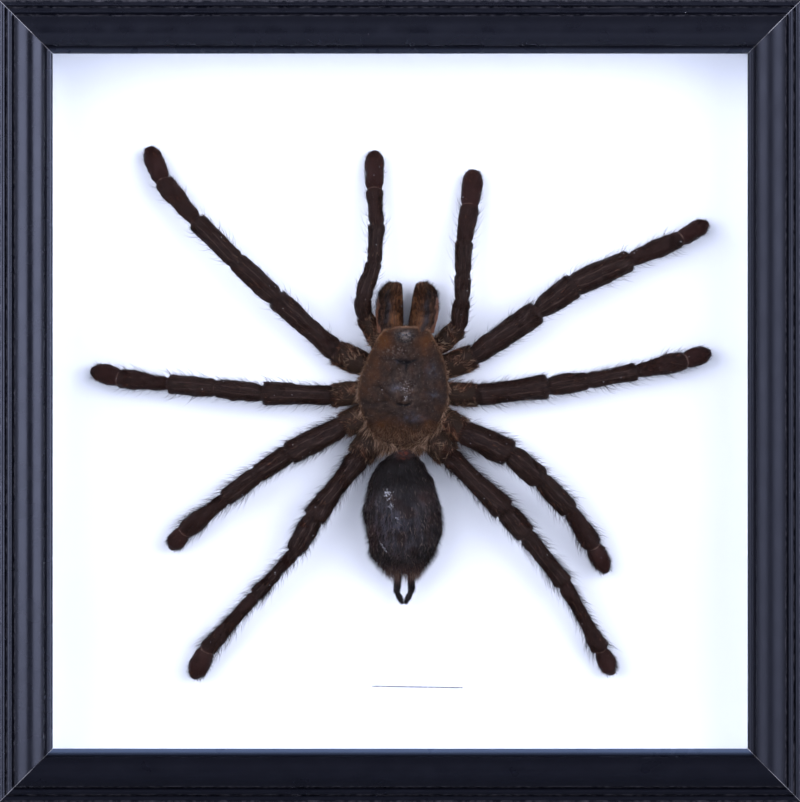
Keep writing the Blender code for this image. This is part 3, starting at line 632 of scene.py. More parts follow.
def on_tube(line, at, angle):
    """Points on a tube, with the ways out of it and along it, at ring numbers and angles round it."""
    last = len(line.middle) - 1
    rings = np.arange(last + 1)
    i = np.minimum(at, last - 0.001).astype(int)
    cos, sin = np.cos(angle)[..., None], np.sin(angle)[..., None]
    arched = np.clip(at - line.arch * np.sin(angle) ** 2 * np.minimum(1, (last - at) / 12), 0, last)
    wide = np.interp(arched, rings, line.wide)[..., None]
    tall = np.interp(arched, rings, line.tall)[..., None]
    middle = line.middle[i] + (line.middle[i + 1] - line.middle[i]) * (at - i)[..., None]
    points = middle + line.left[i] * wide * cos + line.over[i] * tall * sin
    out = unit(line.left[i] * cos * tall + line.over[i] * sin * wide)
    return points, out, line.along[i]


def ring_angles(sides):
    """Angles round a tube, from underneath its middle line."""
    return TAU * (np.arange(sides) / sides - 0.25)


def tube_rings(line, sides, swell=None):
    """Rings on a tube, pushed out by what swell says of their points."""
    at, angle = np.meshgrid(np.arange(len(line.middle), dtype=float), ring_angles(sides), indexing="ij")
    points, out, _ = on_tube(line, at, angle)
    return points if swell is None else points + out * swell(points)[..., None]


def lumpy(*waves):
    """A swell for tube_rings: the sum of ripples given as (height, size, seed)."""
    return lambda points: sum(height * ripples(points, size, seed) for height, size, seed in waves)


def hair_mesh(name, roots, ways, lengths, thick, bend, shade, segments=1, reddish=0.0):
    """Mesh of separate tapering three-sided hairs. Each bends by its own vector towards its tip."""
    rng = np.random.default_rng(len(roots))
    count = len(roots)
    across = unit(np.cross(ways, rng.normal(size=ways.shape)))
    other = np.cross(ways, across)
    lengths = lengths[:, None]
    thick = np.broadcast_to(thick, count)[:, None]
    corners, uv = [], []
    for level in range(segments):
        share = level / segments
        centre = roots + (ways * share + bend * share ** 2) * lengths
        radius = thick / 2 * (1 - 0.6 * share)
        for corner in range(3):
            angle = TAU * corner / 3
            corners.append(centre + (across * math.cos(angle) + other * math.sin(angle)) * radius)
            uv.append((0.2 + 0.3 * corner, 0.1 + 0.8 * share))
    corners.append(roots + (ways + bend) * lengths)
    uv.append((0.5, 0.9))
    top = 3 * (segments - 1)
    walls = [(base + i, base + (i + 1) % 3, base + 3 + (i + 1) % 3, base + 3 + i)
             for base in range(0, top, 3) for i in range(3)]
    shut = [(top + i, top + (i + 1) % 3, top + 3) for i in range(3)] + [(0, 2, 1)]
    each = top + 4
    start = (np.arange(count) * each)[:, None, None]
    faces = [(start + np.array(some)).reshape(-1, len(some[0])) for some in (shut, walls) if some]
    mesh = new_mesh(name, on_card(np.stack(corners, 1).reshape(-1, 3)), *faces)
    mesh.shade_smooth()
    give(mesh, shade=np.repeat(shade, each), reddish=np.repeat(np.broadcast_to(reddish, count), each))
    grid = math.ceil(math.sqrt(count))
    cell = np.stack([np.arange(count) % grid, np.arange(count) // grid], 1)
    corner_of = np.empty(len(mesh.loops), np.int32)
    mesh.loops.foreach_get("vertex_index", corner_of)
    lay_map(mesh, "OFBake", ((cell[:, None] + np.array(uv)[None]) / grid).reshape(-1, 2)[corner_of])
    return mesh


def joined(name, *meshes):
    """One mesh out of several, with their attributes and maps."""
    bm = bmesh.new()
    for mesh in meshes:
        bm.from_mesh(mesh)
    whole = bpy.data.meshes.new(name)
    bm.to_mesh(whole)
    bm.free()
    return whole


# ---------------------------------------------------------------- moulding and filling


def arc(centre, radius, start, end, steps):
    """Points on an arc of the moulding's section. 0 degrees is inwards and 90 is forwards."""
    angle = np.radians(np.linspace(start, end, steps + 1))
    return [(centre[0] + radius * math.cos(a), centre[1] - radius * math.sin(a)) for a in angle]


def moulding_section():
    """Closed outline of the moulding as (distance inwards, depth), starting at its outer back edge."""
    outer, inner = HUMP
    half = (inner - outer) / 2
    radius = (half ** 2 + HUMP_SAG ** 2) / (2 * HUMP_SAG)
    tilt = math.degrees(math.asin(half / radius))
    depth = (BACK - FRONT) / MM
    section = [(0.15, depth), (0.0, depth - 0.15)]
    section += arc((BEAD, 3.3), BEAD, 180, 25, 14)
    section += arc((2.40, 2.75), BEAD, 165, 48, 12)
    section += [(3.08, 2.32), (3.20, 2.22), (3.30, 1.85)]
    section += arc(((outer + inner) / 2, radius), radius, 90 + tilt, 90 - tilt, 34)
    section += [(9.75, 1.60), (9.92, 1.95), (10.1, 2.25), (10.3, 2.38), (10.5, 2.32)]
    section += arc((FACE - BEAD, 3.0), BEAD, 104, 0, 16)
    section += [(FACE, LIP_BACK), (WALL, LIP_BACK), (WALL, depth)]
    return np.array(section)


def build_moulding():
    """Four mitred rails with the CAD rails' section, drawn finer."""
    inwards, depth = moulding_section().T
    rubbed = ridge(inwards[:, None] - np.array(ARRISES), 0.16).max(1) * (depth < LIP_BACK)
    # Where the painted reflection of the white card goes: the inner edge of the moulding's front
    lip = step_up(9.9, 11.2, inwards) * (depth < LIP_BACK)
    half = SIDE / MM / 2
    reach = np.sin(np.linspace(-math.pi / 2, math.pi / 2, 25))[:, None] * (half - inwards - MITRE_GAP)
    down = np.broadcast_to(inwards - half, reach.shape)
    height = np.broadcast_to((CARD_FACE - FRONT) / MM - depth, reach.shape)
    count, sides = reach.shape
    ends = np.array([range(sides)[::-1], range((count - 1) * sides, count * sides)])
    for quarter, side in enumerate(("bottom", "right", "top", "left")):
        turn = quarter * math.pi / 2
        across = reach * math.cos(turn) - down * math.sin(turn)
        up = reach * math.sin(turn) + down * math.cos(turn)
        points = to_world(np.stack([across, up, height], -1).reshape(-1, 3))
        mesh = new_mesh(f"moulding_{side}", points, ring_faces(count, sides), ends)
        bm = bmesh.new()
        bm.from_mesh(mesh)
        bmesh.ops.recalc_face_normals(bm, faces=bm.faces[:])
        bm.to_mesh(mesh)
        bm.free()
        mesh.shade_smooth()
        mesh.set_sharp_from_angle(angle=math.radians(38))
        give(mesh, arris=np.tile(rubbed, count), lip=np.tile(lip, count))
        add_piece(f"moulding_{side}", mesh, moulding_look(side), "moulding", f"rail_{side}")


def finish_filling():
    """Materials of the pieces that the CAD model already shapes."""
    steel = metal_look("tab_steel", (0.42, 0.42, 0.43), (0.62, 0.62, 0.63), (0.20, 0.17, 0.15),
                       (500.0, 4000.0, 4000.0))
    brass = metal_look("hanger_brass", (0.50, 0.33, 0.12), (0.74, 0.53, 0.23), (0.20, 0.12, 0.06),
                       (400.0, 4000.0, 5000.0))
    looks = {"glass": glass_look(), "spacer": foam_look(), "mount_card": card_look(),
             "back_board": hardboard_look(), "board_tab": steel, "sawtooth_hanger": brass,
             "hanger_nail": brass}
    for name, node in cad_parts.items():
        for start, material in looks.items():
            if name.startswith(start):
                node.data.materials.clear()
                node.data.materials.append(material)


# ---------------------------------------------------------------- limbs


def limb_line(start, pieces):
    """A limb's tube with its rings, and how far past or before the nearest joint each ring lies."""
    corners = [np.array([*start, LIMB_HEIGHTS[0]])]
    for (length, heading, _), height in zip(pieces, LIMB_HEIGHTS[1:]):
        turn = math.radians(heading)
        x, y, _ = corners[-1]
        corners.append(np.array([x + length * math.cos(turn), y + length * math.sin(turn), height]))
    last = len(pieces) - 1
    rows = []
    for number, (length, _, widths) in enumerate(pieces):
        past = np.arange(RING_STEP / 2, length, RING_STEP)
        left = length - past
        share = past / length
        middle = corners[number] + (corners[number + 1] - corners[number]) * share[:, None]
        width = through(tuple(zip(WIDTHS_AT, widths)), share) - HAIR_DEPTH
        if number > 0:
            width *= 1 - 0.15 * ridge(past, 0.7)
        if number < last:
            width *= 1 + 0.02 * ridge(left - 1.1, 0.6) - 0.10 * ridge(left, 0.35)
        else:
            width *= np.sqrt(np.maximum(1 - (1 - np.clip(left / 1.9, 0, 1)) ** 2, 0.02))
        nearer = past < left
        off = np.where(nearer & (number > 0), past, np.where(number < last, -left, 9.0))
        joint = np.where(nearer, number - 1, number)
        rows.append((middle, width, np.full(len(past), number), off, joint))
    middle, width, piece, off, joint = (np.concatenate(column) for column in zip(*rows))
    middle = smoothed(middle, np.array([1, 2, 3, 4, 3, 2, 1]) / 16)
    line = tube(middle, width, width * 0.93, JOINT_ARCH / RING_STEP)
    line.piece, line.off, line.joint = piece, off, joint
    return line


def limb_coat(line, rng, seed):
    """A limb's short coat, combed in streaks, with tangled locks where it joins the body."""
    count = int(COAT_PER_MM * line.run[-1])
    at = rng.uniform(1, len(line.middle) - 2, count)
    at = np.where(rng.uniform(size=count) < 0.09, rng.uniform(1, (line.piece == 0).sum() + 4, count), at)
    angle = rng.uniform(-0.75, math.pi + 0.75, count)
    ring = at.astype(int)
    piece = line.piece[ring]
    off = line.off[ring] - JOINT_ARCH * np.sin(angle) ** 2
    points, _, _ = on_tube(line, at, angle)
    wander = 0.012 * ripples(points, 2.2, seed + 80)
    striped = (piece >= 1) & (piece <= 3) & (np.abs(np.abs(angle / TAU - 0.25 + wander) - STRIPE) < 0.012)
    bare = np.maximum(0.8 * (piece > 0) * ridge(off, 0.3), 0.55 * striped)
    keep = rng.uniform(size=count) > bare
    at, angle, ring, piece = at[keep], angle[keep], ring[keep], piece[keep]
    count = len(at)
    points, out, along = on_tube(line, at, angle)

    length, lift, thick, _ = np.array(COAT)[piece].T
    tangled = piece == 0
    loose = (rng.uniform(size=count) < 0.22) & ~tangled
    lift = lift * np.where(loose, rng.uniform(1.6, 3.6, count), rng.uniform(0.3, 1.3, count))
    swirl = np.where(tangled, 1.1 * ripples(points, 1.5, seed + 20) + rng.normal(0, 0.3, count),
                     rng.normal(0, 0.17, count))
    side = np.cross(along, out) * swirl[:, None]
    length = length * rng.uniform(0.6, 1.3, count)
    length = length * (1 - 0.45 * step_up(-1.4, -0.4, line.off[ring]) * (line.off[ring] < 0))

    combed = np.column_stack([line.run[ring] * 0.11, angle * line.wide[ring], np.zeros(count)])
    streak = np.clip(ripples(combed, 0.26, seed + 30), -1, 1.6)
    shade = 0.20 + 0.06 * rng.normal(size=count) + 0.06 * streak + 0.06 * ripples(points, 1.6, seed)
    # The last term is painted shade: hairs on the sides and underneath of a limb are darker than those on top
    shade += 0.07 * ripples(points, 3.2, seed + 90) - 0.07 * (1 - np.sin(angle))
    outer = 0.115 + 0.07 * rng.normal(size=count) + 0.16 * ripples(points, 0.40, seed + 70)
    shade = np.where(piece >= 4, outer, shade)
    shade = np.where(rng.uniform(size=count) < 0.05, rng.uniform(0.45, 0.85, count), shade)
    inner = np.clip(1 - line.run[ring] / line.run[(line.piece == 0).sum()], 0, 1)
    strands = 0.25 + 0.26 * inner + 0.08 * rng.normal(size=count) + 0.16 * ripples(points, 0.6, seed + 40)
    locks = tangled & (rng.uniform(size=count) < 0.08 + 0.40 * inner)
    shade = np.where(locks, rng.uniform(0.68, 0.98, count), np.where(tangled, strands, shade))
    reddish = np.array(LIMB_REDDISH)[piece] + 0.35 * ripples(points, 2.2, seed + 60)

    bend = along * 0.25 - out * 0.10 + side * np.where(tangled, 0.5, 0.2)[:, None]
    thick = thick * rng.uniform(0.7, 1.3, count)
    thick = np.where(loose, thick * 0.7, thick) * np.where(locks, 1.25, 1.0)
    return hair_mesh("coat", points - out * 0.1, leaning(along, out, lift, side), length, thick, bend,
                     shade + 0.03 * (piece == 5), 1, reddish)


def limb_bristles(line, rng, shag):
    """A limb's long bristles, most of them along its two sides."""
    count = int(BRISTLES_PER_MM * line.run[-1] * shag)
    strong = rng.uniform(size=count) < 0.40
    at = rng.uniform(3, len(line.middle) - 3, count)
    edge = rng.choice([0.0, math.pi], count) + rng.normal(0, 0.5, count)
    angle = np.where(rng.uniform(size=count) < 0.22, rng.uniform(-0.3, math.pi + 0.3, count), edge)
    piece = line.piece[at.astype(int)]
    points, out, along = on_tube(line, at, angle)
    length = np.array(COAT)[piece, 3] * rng.uniform(0.3, 1.2, count) * (1 + 0.35 * strong)
    lift = rng.uniform(18, 62, count) + 16 * strong
    ways = leaning(along, out, lift, np.cross(along, out) * rng.normal(0, 0.16, count)[:, None])
    shade = np.where(piece == 0, 0.50, 0.20) + 0.12 * rng.normal(size=count)
    thick = np.where(strong, 0.066, 0.038) * rng.uniform(0.8, 1.3, count)
    return hair_mesh("long", points - out * 0.08, ways, length, thick, along * 0.40 - out * 0.20, shade, 2)


def build_limbs(skin, hair):
    sides = 28
    angle = ring_angles(sides)
    for seed, (name, (start, pieces)) in enumerate(LIMBS.items()):
        rng = np.random.default_rng(100 + seed)
        line = limb_line(start, pieces)
        rings = tube_rings(line, sides, lumpy((0.13, 2.0, seed), (0.06, 0.7, seed + 50)))
        mesh = skin_mesh(name, rings, line.run)
        piece = np.repeat(line.piece, sides)
        off = line.off[:, None] - JOINT_ARCH * np.sin(angle) ** 2
        bare = ridge(off, 0.22) * np.append(JOINT_SKIN, 0.0)[line.joint][:, None] * (np.sin(angle) > -0.2)
        striped = (piece >= 1) & (piece <= 3) & (np.repeat(np.abs(line.off), sides) > 1.0)
        tip = np.array((0, 0, 0, 0, 0.4, 1.0))[piece]
        give_skin(mesh, {"joint": bare, "tip": tip, "root": piece == 0, "striped": striped})
        add_piece(f"{name}_skin", mesh, skin, "leg", name)
        add_piece(f"{name}_coat", limb_coat(line, rng, seed), hair, "leg")
        bristles = limb_bristles(line, rng, SHAG.get(name, SHAG["palp"]))
        add_piece(f"{name}_bristles", bristles, hair, "leg")


# ---------------------------------------------------------------- carapace and eyes

EYE_MOUND = (0.8, 14.1)
RAY_HUB = (0.7, -0.2)
RAYS = (62, 30, 4, -30, 118, 150, 178, 212)  # degrees at which shallow grooves run out from the hub
# Soft patches of colour on the carapace, as spots() takes them
AMBER_SPOTS = ((1.0, -3.6, 13.0, 1.9, 2.3), (0.8, 5.2, 12.6, 1.7, 2.4), (0.40, -5.6, 8.0, 2.0, 3.0),
               (0.75, -4.2, -4.6, 2.0, 1.1), (0.60, 5.6, -4.6, 1.3, 1.5), (0.35, -7.0, 4.0, 1.8, 2.2),
               (0.45, 0.8, -6.6, 5.0, 1.8))
# Where the shell gets a painted sheen, as if it caught the lamps
PAINTED_SHEEN_SPOTS = ((0.6, 6.6, 6.8, 1.2, 1.2), (0.7, 7.0, 1.3, 1.2, 0.8), (0.7, -1.0, 3.0, 1.0, 0.7),
                (0.5, 2.6, -3.2, 2.6, 1.0), (0.6, -0.8, 8.8, 0.8, 0.5))
FLECK_SPOTS = ((1.0, 0.9, 3.3, 1.7, 1.2), (0.8, 1.1, 1.2, 0.5, 1.2), (0.45, -1.2, 10.6, 2.4, 1.2),
               (0.35, 2.2, -1.0, 1.2, 0.6))
# Rings under the carapace: share of its outline, and how far they lie below its rim or over the card
UNDERSIDE = ((0.30, 0, 0.3), (0.40, 0, 1.2), (0.43, 0, 4.2), (0.84, 0, 4.9), (0.95, 0.75, 0), (0.985, 0.4, 0))
# Each pair of eyes: place across and up from the mound's middle, half width and half height
EYES = ((0.36, 0.10, 0.30, 0.30), (0.98, 0.42, 0.30, 0.22), (1.02, -0.28, 0.28, 0.18),
        (0.60, -0.36, 0.18, 0.14))


def rim_height(up):
    """Height of the carapace's rim, which rises to the front."""
    return BRIM + 2.3 * step_up(6.0, 14.5, up)


def carapace_surface(outline, share):
    """Points on the carapace at shares of the way from its middle to its edge, with what its looks need."""
    flat = np.array(CARAPACE_AT) + (outline - CARAPACE_AT) * share[..., None]
    x, y = flat[..., 0], flat[..., 1]
    edge = rim_height(y)
    crown = BRIM + DOME + 0.25 * blob(x, y, (1.0, 10.5), (4.5, 4.0))
    height = edge + (crown - edge) * (1 - share ** 2.4)
    off_slit = x - 0.65
    slit = ridge(y + 0.62 - 0.20 * off_slit ** 2, 0.30) * step_up(2.0, 1.2, np.abs(off_slit))
    lean = np.abs(x - 1.1)
    arms = ridge(y - 8.3 - 0.33 * lean, 0.28) * step_up(3.6, 1.4, lean)
    fork = np.maximum(arms, blob(x, y, (1.15, 7.7), (0.26, 1.0)))
    pit = blob(x, y, (1.0, 8.4), (1.25, 0.85))
    rays = np.zeros_like(x)
    east, north = x - RAY_HUB[0], y - RAY_HUB[1]
    away = np.hypot(east, north)
    for degrees in RAYS:
        turn = math.radians(degrees)
        off = east * math.sin(turn) - north * math.cos(turn) + 0.35 * np.sin(away * 0.9 + degrees)
        ahead = east * math.cos(turn) + north * math.sin(turn) > 0
        rays += ridge(off, 0.32) * ahead * step_up(1.8, 4.2, away) * step_up(9.0, 6.5, away)
    mound = blob(x, y, EYE_MOUND, (1.35, 1.05))
    ring = np.hypot((x - EYE_MOUND[0]) / 1.55, (y - EYE_MOUND[1]) / 1.25) - 1.05
    moat = ridge(ring, 0.20) * step_up(15.4, 14.6, y)
    place = np.stack([x, y, height], -1)
    lumps = ripples(place, 1.7, 7) * 0.09 + ripples(place, 0.6, 8) * 0.035
    height = height - 0.6 * slit - 0.45 * fork - 0.45 * pit - 0.20 * rays + 0.9 * mound + lumps
    mottled = 0.18 * np.clip(ripples(place, 1.5, 12), 0, 1)
    looks = {"amber": spots(x, y, AMBER_SPOTS) + 0.45 * step_up(0.93, 1.0, share) + mottled,
             "dark": 1.2 * slit + 1.1 * fork + 0.80 * pit + 0.30 * rays + 0.75 * moat,
             "painted_sheen": spots(x, y, PAINTED_SHEEN_SPOTS),
             "flecks": spots(x, y, FLECK_SPOTS) + 0.9 * mound,
             "rim": step_up(0.962, 0.988, share) * (0.30 + 0.40 * step_up(11.0, 14.5, y)),
             "pale": 1.2 * mound + 0.12 * blob(x, y, (1.0, 3.5), (3.0, 5.5))}
    return np.stack([x, y, height], -1), looks


def carapace_outline(sides):
    """Points round the carapace's edge, from its tail up its right side and back down its left."""
    turn = TAU * (np.arange(sides) + 0.5) / sides
    rows = np.array(CARAPACE_EDGE)
    up = rows[0, 0] + (rows[-1, 0] - rows[0, 0]) * (1 - np.cos(turn)) / 2
    middle, half = through(rows[:, :2], up), through(rows[:, ::2], up)
    return np.stack([middle + half * np.sign(np.sin(turn)), up], 1)


def carapace_down(outline, rng):
    """A short down over the whole shell, lying outwards and longer behind."""
    count = 9000
    pick = rng.integers(0, len(outline), count)
    share = np.sqrt(rng.uniform(0.0, 1.0, count))
    points, looks = carapace_surface(outline[pick], share)
    rear = step_up(-2.0, -7.0, points[:, 1])
    keep = (looks["dark"] < 0.25) & (rng.uniform(size=count) < 0.10 + 0.35 * share ** 2 + rear)
    points, rear, amber = points[keep], rear[keep], looks["amber"][keep]
    count = len(points)
    outwards = unit(np.column_stack([points[:, :2] - CARAPACE_AT, np.zeros(count)]))
    ways = unit(outwards + np.column_stack([rng.normal(0, 0.6, (count, 2)), rng.uniform(0.05, 0.35, count)]))
    length = rng.uniform(0.35, 0.8, count) * (1 + 0.9 * rear)
    shade = 0.22 + 0.10 * rng.normal(size=count) + 0.18 * np.clip(amber, 0, 1) + 0.26 * rear
    return hair_mesh("down", points - (0, 0, 0.05), ways, length, 0.050 + 0.035 * rear, outwards * 0.1, shade)


def carapace_fringe(outline, rng):
    """Tan hairs along the carapace's edge, short at the front, long and tangled behind."""
    count, sides = 8500, len(outline)
    pick = rng.integers(0, sides, count)
    pick = np.where(rng.uniform(size=count) < 0.38, rng.integers(-22, 22, count) % sides, pick)
    step = outline[(pick + 1) % sides] - outline[pick]
    here = outline[pick] + step * rng.uniform(0, 1, (count, 1))
    share = rng.uniform(0.92, 1.01, count)
    flat = CARAPACE_AT + (here - CARAPACE_AT) * share[:, None]
    front, rear = step_up(5.0, 11.0, here[:, 1]), step_up(-1.0, -8.0, here[:, 1])
    lower = rng.uniform(-1.6, 0.1, count) * (0.3 + 0.7 * rear)
    roots = np.column_stack([flat, rim_height(here[:, 1]) + lower])
    outwards = unit(np.column_stack([here - CARAPACE_AT, np.zeros(count)]))
    backwards = unit(np.column_stack([step, np.zeros(count)])) * -np.sign(here[:, :1] - CARAPACE_AT[0])
    swirl = np.column_stack([ripples(roots, 1.3, 13), ripples(roots, 1.3, 14), np.full(count, 0.1)]) * 0.5
    ways = unit(outwards * rng.uniform(0.1, 1.0, (count, 1)) + backwards * 0.7 + swirl
                + rng.normal(0, 0.25, (count, 3)))
    length = rng.uniform(0.6, 1.6, count) * (1 - 0.6 * front) * (1 + 1.9 * rear)
    length *= 1 - 0.7 * rear * ridge(here[:, 0] - 0.5, 1.6)
    shade = 0.45 + 0.10 * rng.normal(size=count) - 0.12 * front + 0.18 * ripples(roots, 0.6, 15)
    locks = rng.uniform(size=count) < 0.30
    shade = np.where(locks, rng.uniform(0.72, 1.0, count) - 0.25 * front, shade)
    thick = np.where(locks, 0.115, 0.080) * (1 - 0.3 * front)
    return hair_mesh("fringe", roots, ways, length, thick, ways[:, [1, 0, 2]] * 0.25, shade, 2)


def build_eyes(horn):
    """Eight eyes on their mound: two round ones in the middle and three oval ones to each side."""
    eyes = []
    lump = np.linspace(0.02, 0.98, 9)
    radius = np.sqrt(1 - (2 * lump - 1) ** 2)
    for across, up, wide, tall in EYES:
        for hand in (-1, 1):
            place = np.array([[EYE_MOUND[0] + hand * across, 14.15 + up]])
            seat = carapace_surface(place, np.array([1.0]))[0][0]
            middle = seat + np.column_stack([(lump - 0.5) * 2 * wide, np.zeros(9), np.full(9, EYE_LIFT)])
            line = tube(middle, radius * 2 * tall, radius * 1.6 * tall)
            eyes.append(skin_mesh("eye", tube_rings(line, 14)))
    add_piece("eyes", joined("eyes", *eyes), horn, "fang")


def build_prosoma(shell, hair, horn):
    outline = carapace_outline(150)
    sides = len(outline)
    rings = []
    for share, drop, rise in UNDERSIDE:
        height = rim_height(outline[:, 1]) - drop if drop else np.full(sides, rise)
        rings.append(np.column_stack([CARAPACE_AT + (outline - CARAPACE_AT) * share, height]))
    shares = np.concatenate([[1.0, 0.994, 0.98], np.linspace(0.96, 0.02, 56)])
    top, looks = carapace_surface(outline[None], np.repeat(shares[:, None], sides, 1))
    mesh = skin_mesh("prosoma", np.concatenate([np.array(rings), top]))
    under = np.zeros(len(rings) * sides)
    give_skin(mesh, {name: np.append(under, value) for name, value in looks.items()})
    add_piece("prosoma_skin", mesh, shell, "carapace", "prosoma")
    rng = np.random.default_rng(11)
    add_piece("prosoma_down", carapace_down(outline, rng), hair, "carapace")
    add_piece("prosoma_fringe", carapace_fringe(outline, rng), hair, "carapace")
    build_eyes(horn)


# ---------------------------------------------------------------- abdomen and spinnerets

ABDOMEN_START = -11.1  # how far up the waist ends
SPINNERETS = {"left": ((-0.5, -35.9), (-0.85, -40.0), (0.45, -42.6)),
              "right": ((2.15, -35.9), (2.3, -39.7), (0.85, -42.6))}
SPINNERET_WIDTHS = ((0, 1.35), (0.25, 1.50), (0.52, 1.40), (0.60, 1.05),
                    (0.72, 1.20), (0.90, 0.85), (1.0, 0.25))


def abdomen_line():
    rows = np.array(ABDOMEN_EDGE)
    up = np.concatenate([np.linspace(-3.1, -10.6, 26), np.linspace(ABDOMEN_START, -36.2, 150)])
    within = up > ABDOMEN_START
    middle = np.where(within, 0.5, through(rows[:, :2], up))
    flare = through(((-8.4, WAIST[0] / 2), (-9.2, 1.3), (-10.3, 2.0), (ABDOMEN_START, 2.7)), up)
    half = np.where(within, flare, through(rows[:, ::2], up))
    tall = ABDOMEN_HEIGHT * half / rows[:, 2].max()
    rise = 0.3 + (ABDOMEN_HEIGHT - tall) * 0.42 + tall / 2
    rest = np.where(within, WAIST[1] + (rise - WAIST[1]) * step_up(-8.4, ABDOMEN_START, up), rise)
    line = straightened(tube(np.column_stack([middle, up, rest]), half * 2, tall), -1.0)
    line.slope = unit(np.gradient(np.column_stack([middle, up, rest + tall / 2]), axis=0))
    return line


def abdomen_swell(points):
    """Lengthwise folds, dents and fine wrinkles of the abdomen's skin."""
    folds = ripples(points * (1.0, 0.28, 1.0), 0.9, 3) * 0.10 + ripples(points, 3.2, 4) * 0.20
    dents = 0.5 * blob(points[..., 0], points[..., 1], (1.6, -15.5), (2.2, 2.4)) * (points[..., 2] > 7)
    return folds + ripples(points, 0.7, 5) * 0.05 - dents


def abdomen_looks(points):
    """Shares of ruddy, black, painted blue-tinted sheen and bare red skin on the abdomen."""
    x, y = points[..., 0], points[..., 1]
    patches = ripples(points, 2.0, 6)
    ruddy = spots(x, y, ((0.55, 5.6, -17.0, 2.2, 4.0), (0.65, -6.4, -28.5, 1.8, 3.6)))
    ruddy += 0.3 * step_up(-33.2, -36.4, y) + 0.20 * np.clip(patches, 0, 1)
    dark = 0.95 * step_up(-19.5, -15.5, y + 0.30 * np.abs(x)) + 0.8 * blob(x, y, (1.3, -20.5), (1.6, 2.6))
    # Painted sheen: the patch of the back lightened as if it caught the lamps
    painted_sheen = blob(x, y, (-0.8, -25.5), (5.2, 5.4)) * (1 - step_up(0.3, 1.0, patches))
    waist = step_up(-12.4, -11.2, y) * blob(x, 0, (0.6, 0), (1.1, 1.0))
    return {"ruddy": ruddy, "dark": dark * (y < -11.5), "painted_sheen": painted_sheen, "waist": waist}


def abdomen_coat(line, rng):
    """The abdomen's short coat, combed backwards, with some longer pale hairs."""
    count = 17000
    at = rng.uniform(27, len(line.middle) - 2, count)
    at = at[rng.uniform(size=count) < (line.wide / line.wide.max())[at.astype(int)]]
    count, ring = len(at), at.astype(int)
    angle = rng.uniform(-0.9, math.pi + 0.9, count)
    points, out, _ = on_tube(line, at, angle)
    points += out * abdomen_swell(points)[:, None]
    looks = abdomen_looks(points)
    slope = line.slope[ring]
    slope = unit(slope - out * (slope * out).sum(1, keepdims=True))
    pale = rng.uniform(size=count) < 0.07 + 0.07 * blob(points[:, 0], points[:, 1], (4.5, -23.0), (2.5, 5.0))
    lift = np.where(rng.uniform(size=count) < 0.2, rng.uniform(20, 50, count), rng.uniform(2, 18, count))
    swirl = rng.normal(0, 0.22 + 0.45 * pale)[:, None] + 0.3 * ripples(points, 1.6, 8)[:, None]
    tail = step_up(-32.5, -36.0, points[:, 1])
    length = rng.uniform(0.45, 1.0, count) * (1 + 1.1 * tail) * np.where(pale, 1.6, 1.0)
    combed = np.column_stack([angle * line.wide[ring], points[:, 1] * 0.12, np.zeros(count)])
    # The painted sheen patch also lightens the hairs over it
    shade = (0.17 + 0.07 * rng.normal(size=count) + 0.14 * ripples(combed, 0.28, 9) + 0.26 * tail
             + 0.10 * looks["painted_sheen"] - 0.20 * looks["dark"] + 0.06 * looks["ruddy"])
    shade = np.where(pale, rng.uniform(0.50, 0.95, count), shade)
    thick = np.where(pale, 0.060, 0.066) * rng.uniform(0.8, 1.2, count)
    reddish = (0.45 * tail + 0.5 * np.clip(looks["ruddy"], 0, 1)) * (1 - 0.8 * pale)
    ways = leaning(slope, out, lift, np.cross(slope, out) * swirl)
    return hair_mesh("coat", points - out * 0.06, ways, length, thick, slope * 0.15, shade, 1, reddish)


def abdomen_bristles(line, rng):
    """Bristles along the abdomen's sides, thick and drawn together at its tail."""
    count, last = 5200, len(line.middle) - 1.5
    at = rng.uniform(30, last, count)
    at = np.where(rng.uniform(size=count) < 0.25, rng.uniform(142, last, count), at)
    angle = rng.choice([0.0, math.pi], count) + rng.normal(0, 0.7, count)
    points, out, back = on_tube(line, at, angle)
    tail = step_up(-32.0, -36.0, points[:, 1])
    ways = leaning(back, out, rng.uniform(14, 66, count) * (1 - 0.65 * tail), rng.normal(0, 0.12, (count, 3)))
    inwards = np.column_stack([0.8 - points[:, 0], np.zeros((count, 2))]) * (0.09 * tail)[:, None]
    length = rng.uniform(0.8, 1.8, count) * (1 + 0.45 * tail)
    shade = 0.24 + 0.12 * rng.normal(size=count) + 0.36 * tail
    thick = 0.042 + 0.03 * tail + 0.02 * (rng.uniform(size=count) < 0.3)
    return hair_mesh("long", points - out * 0.08, ways, length, thick, back * 0.3 + inwards, shade, 2,
                     0.5 * tail)


def build_abdomen(skin, hair):
    line = abdomen_line()
    rings = tube_rings(line, 84, abdomen_swell)
    mesh = skin_mesh("abdomen", rings, line.run)
    give_skin(mesh, abdomen_looks(rings))
    add_piece("abdomen_skin", mesh, skin, "abdomen", "abdomen")
    rng = np.random.default_rng(21)
    add_piece("abdomen_coat", abdomen_coat(line, rng), hair, "abdomen")
    add_piece("abdomen_bristles", abdomen_bristles(line, rng), hair, "abdomen")


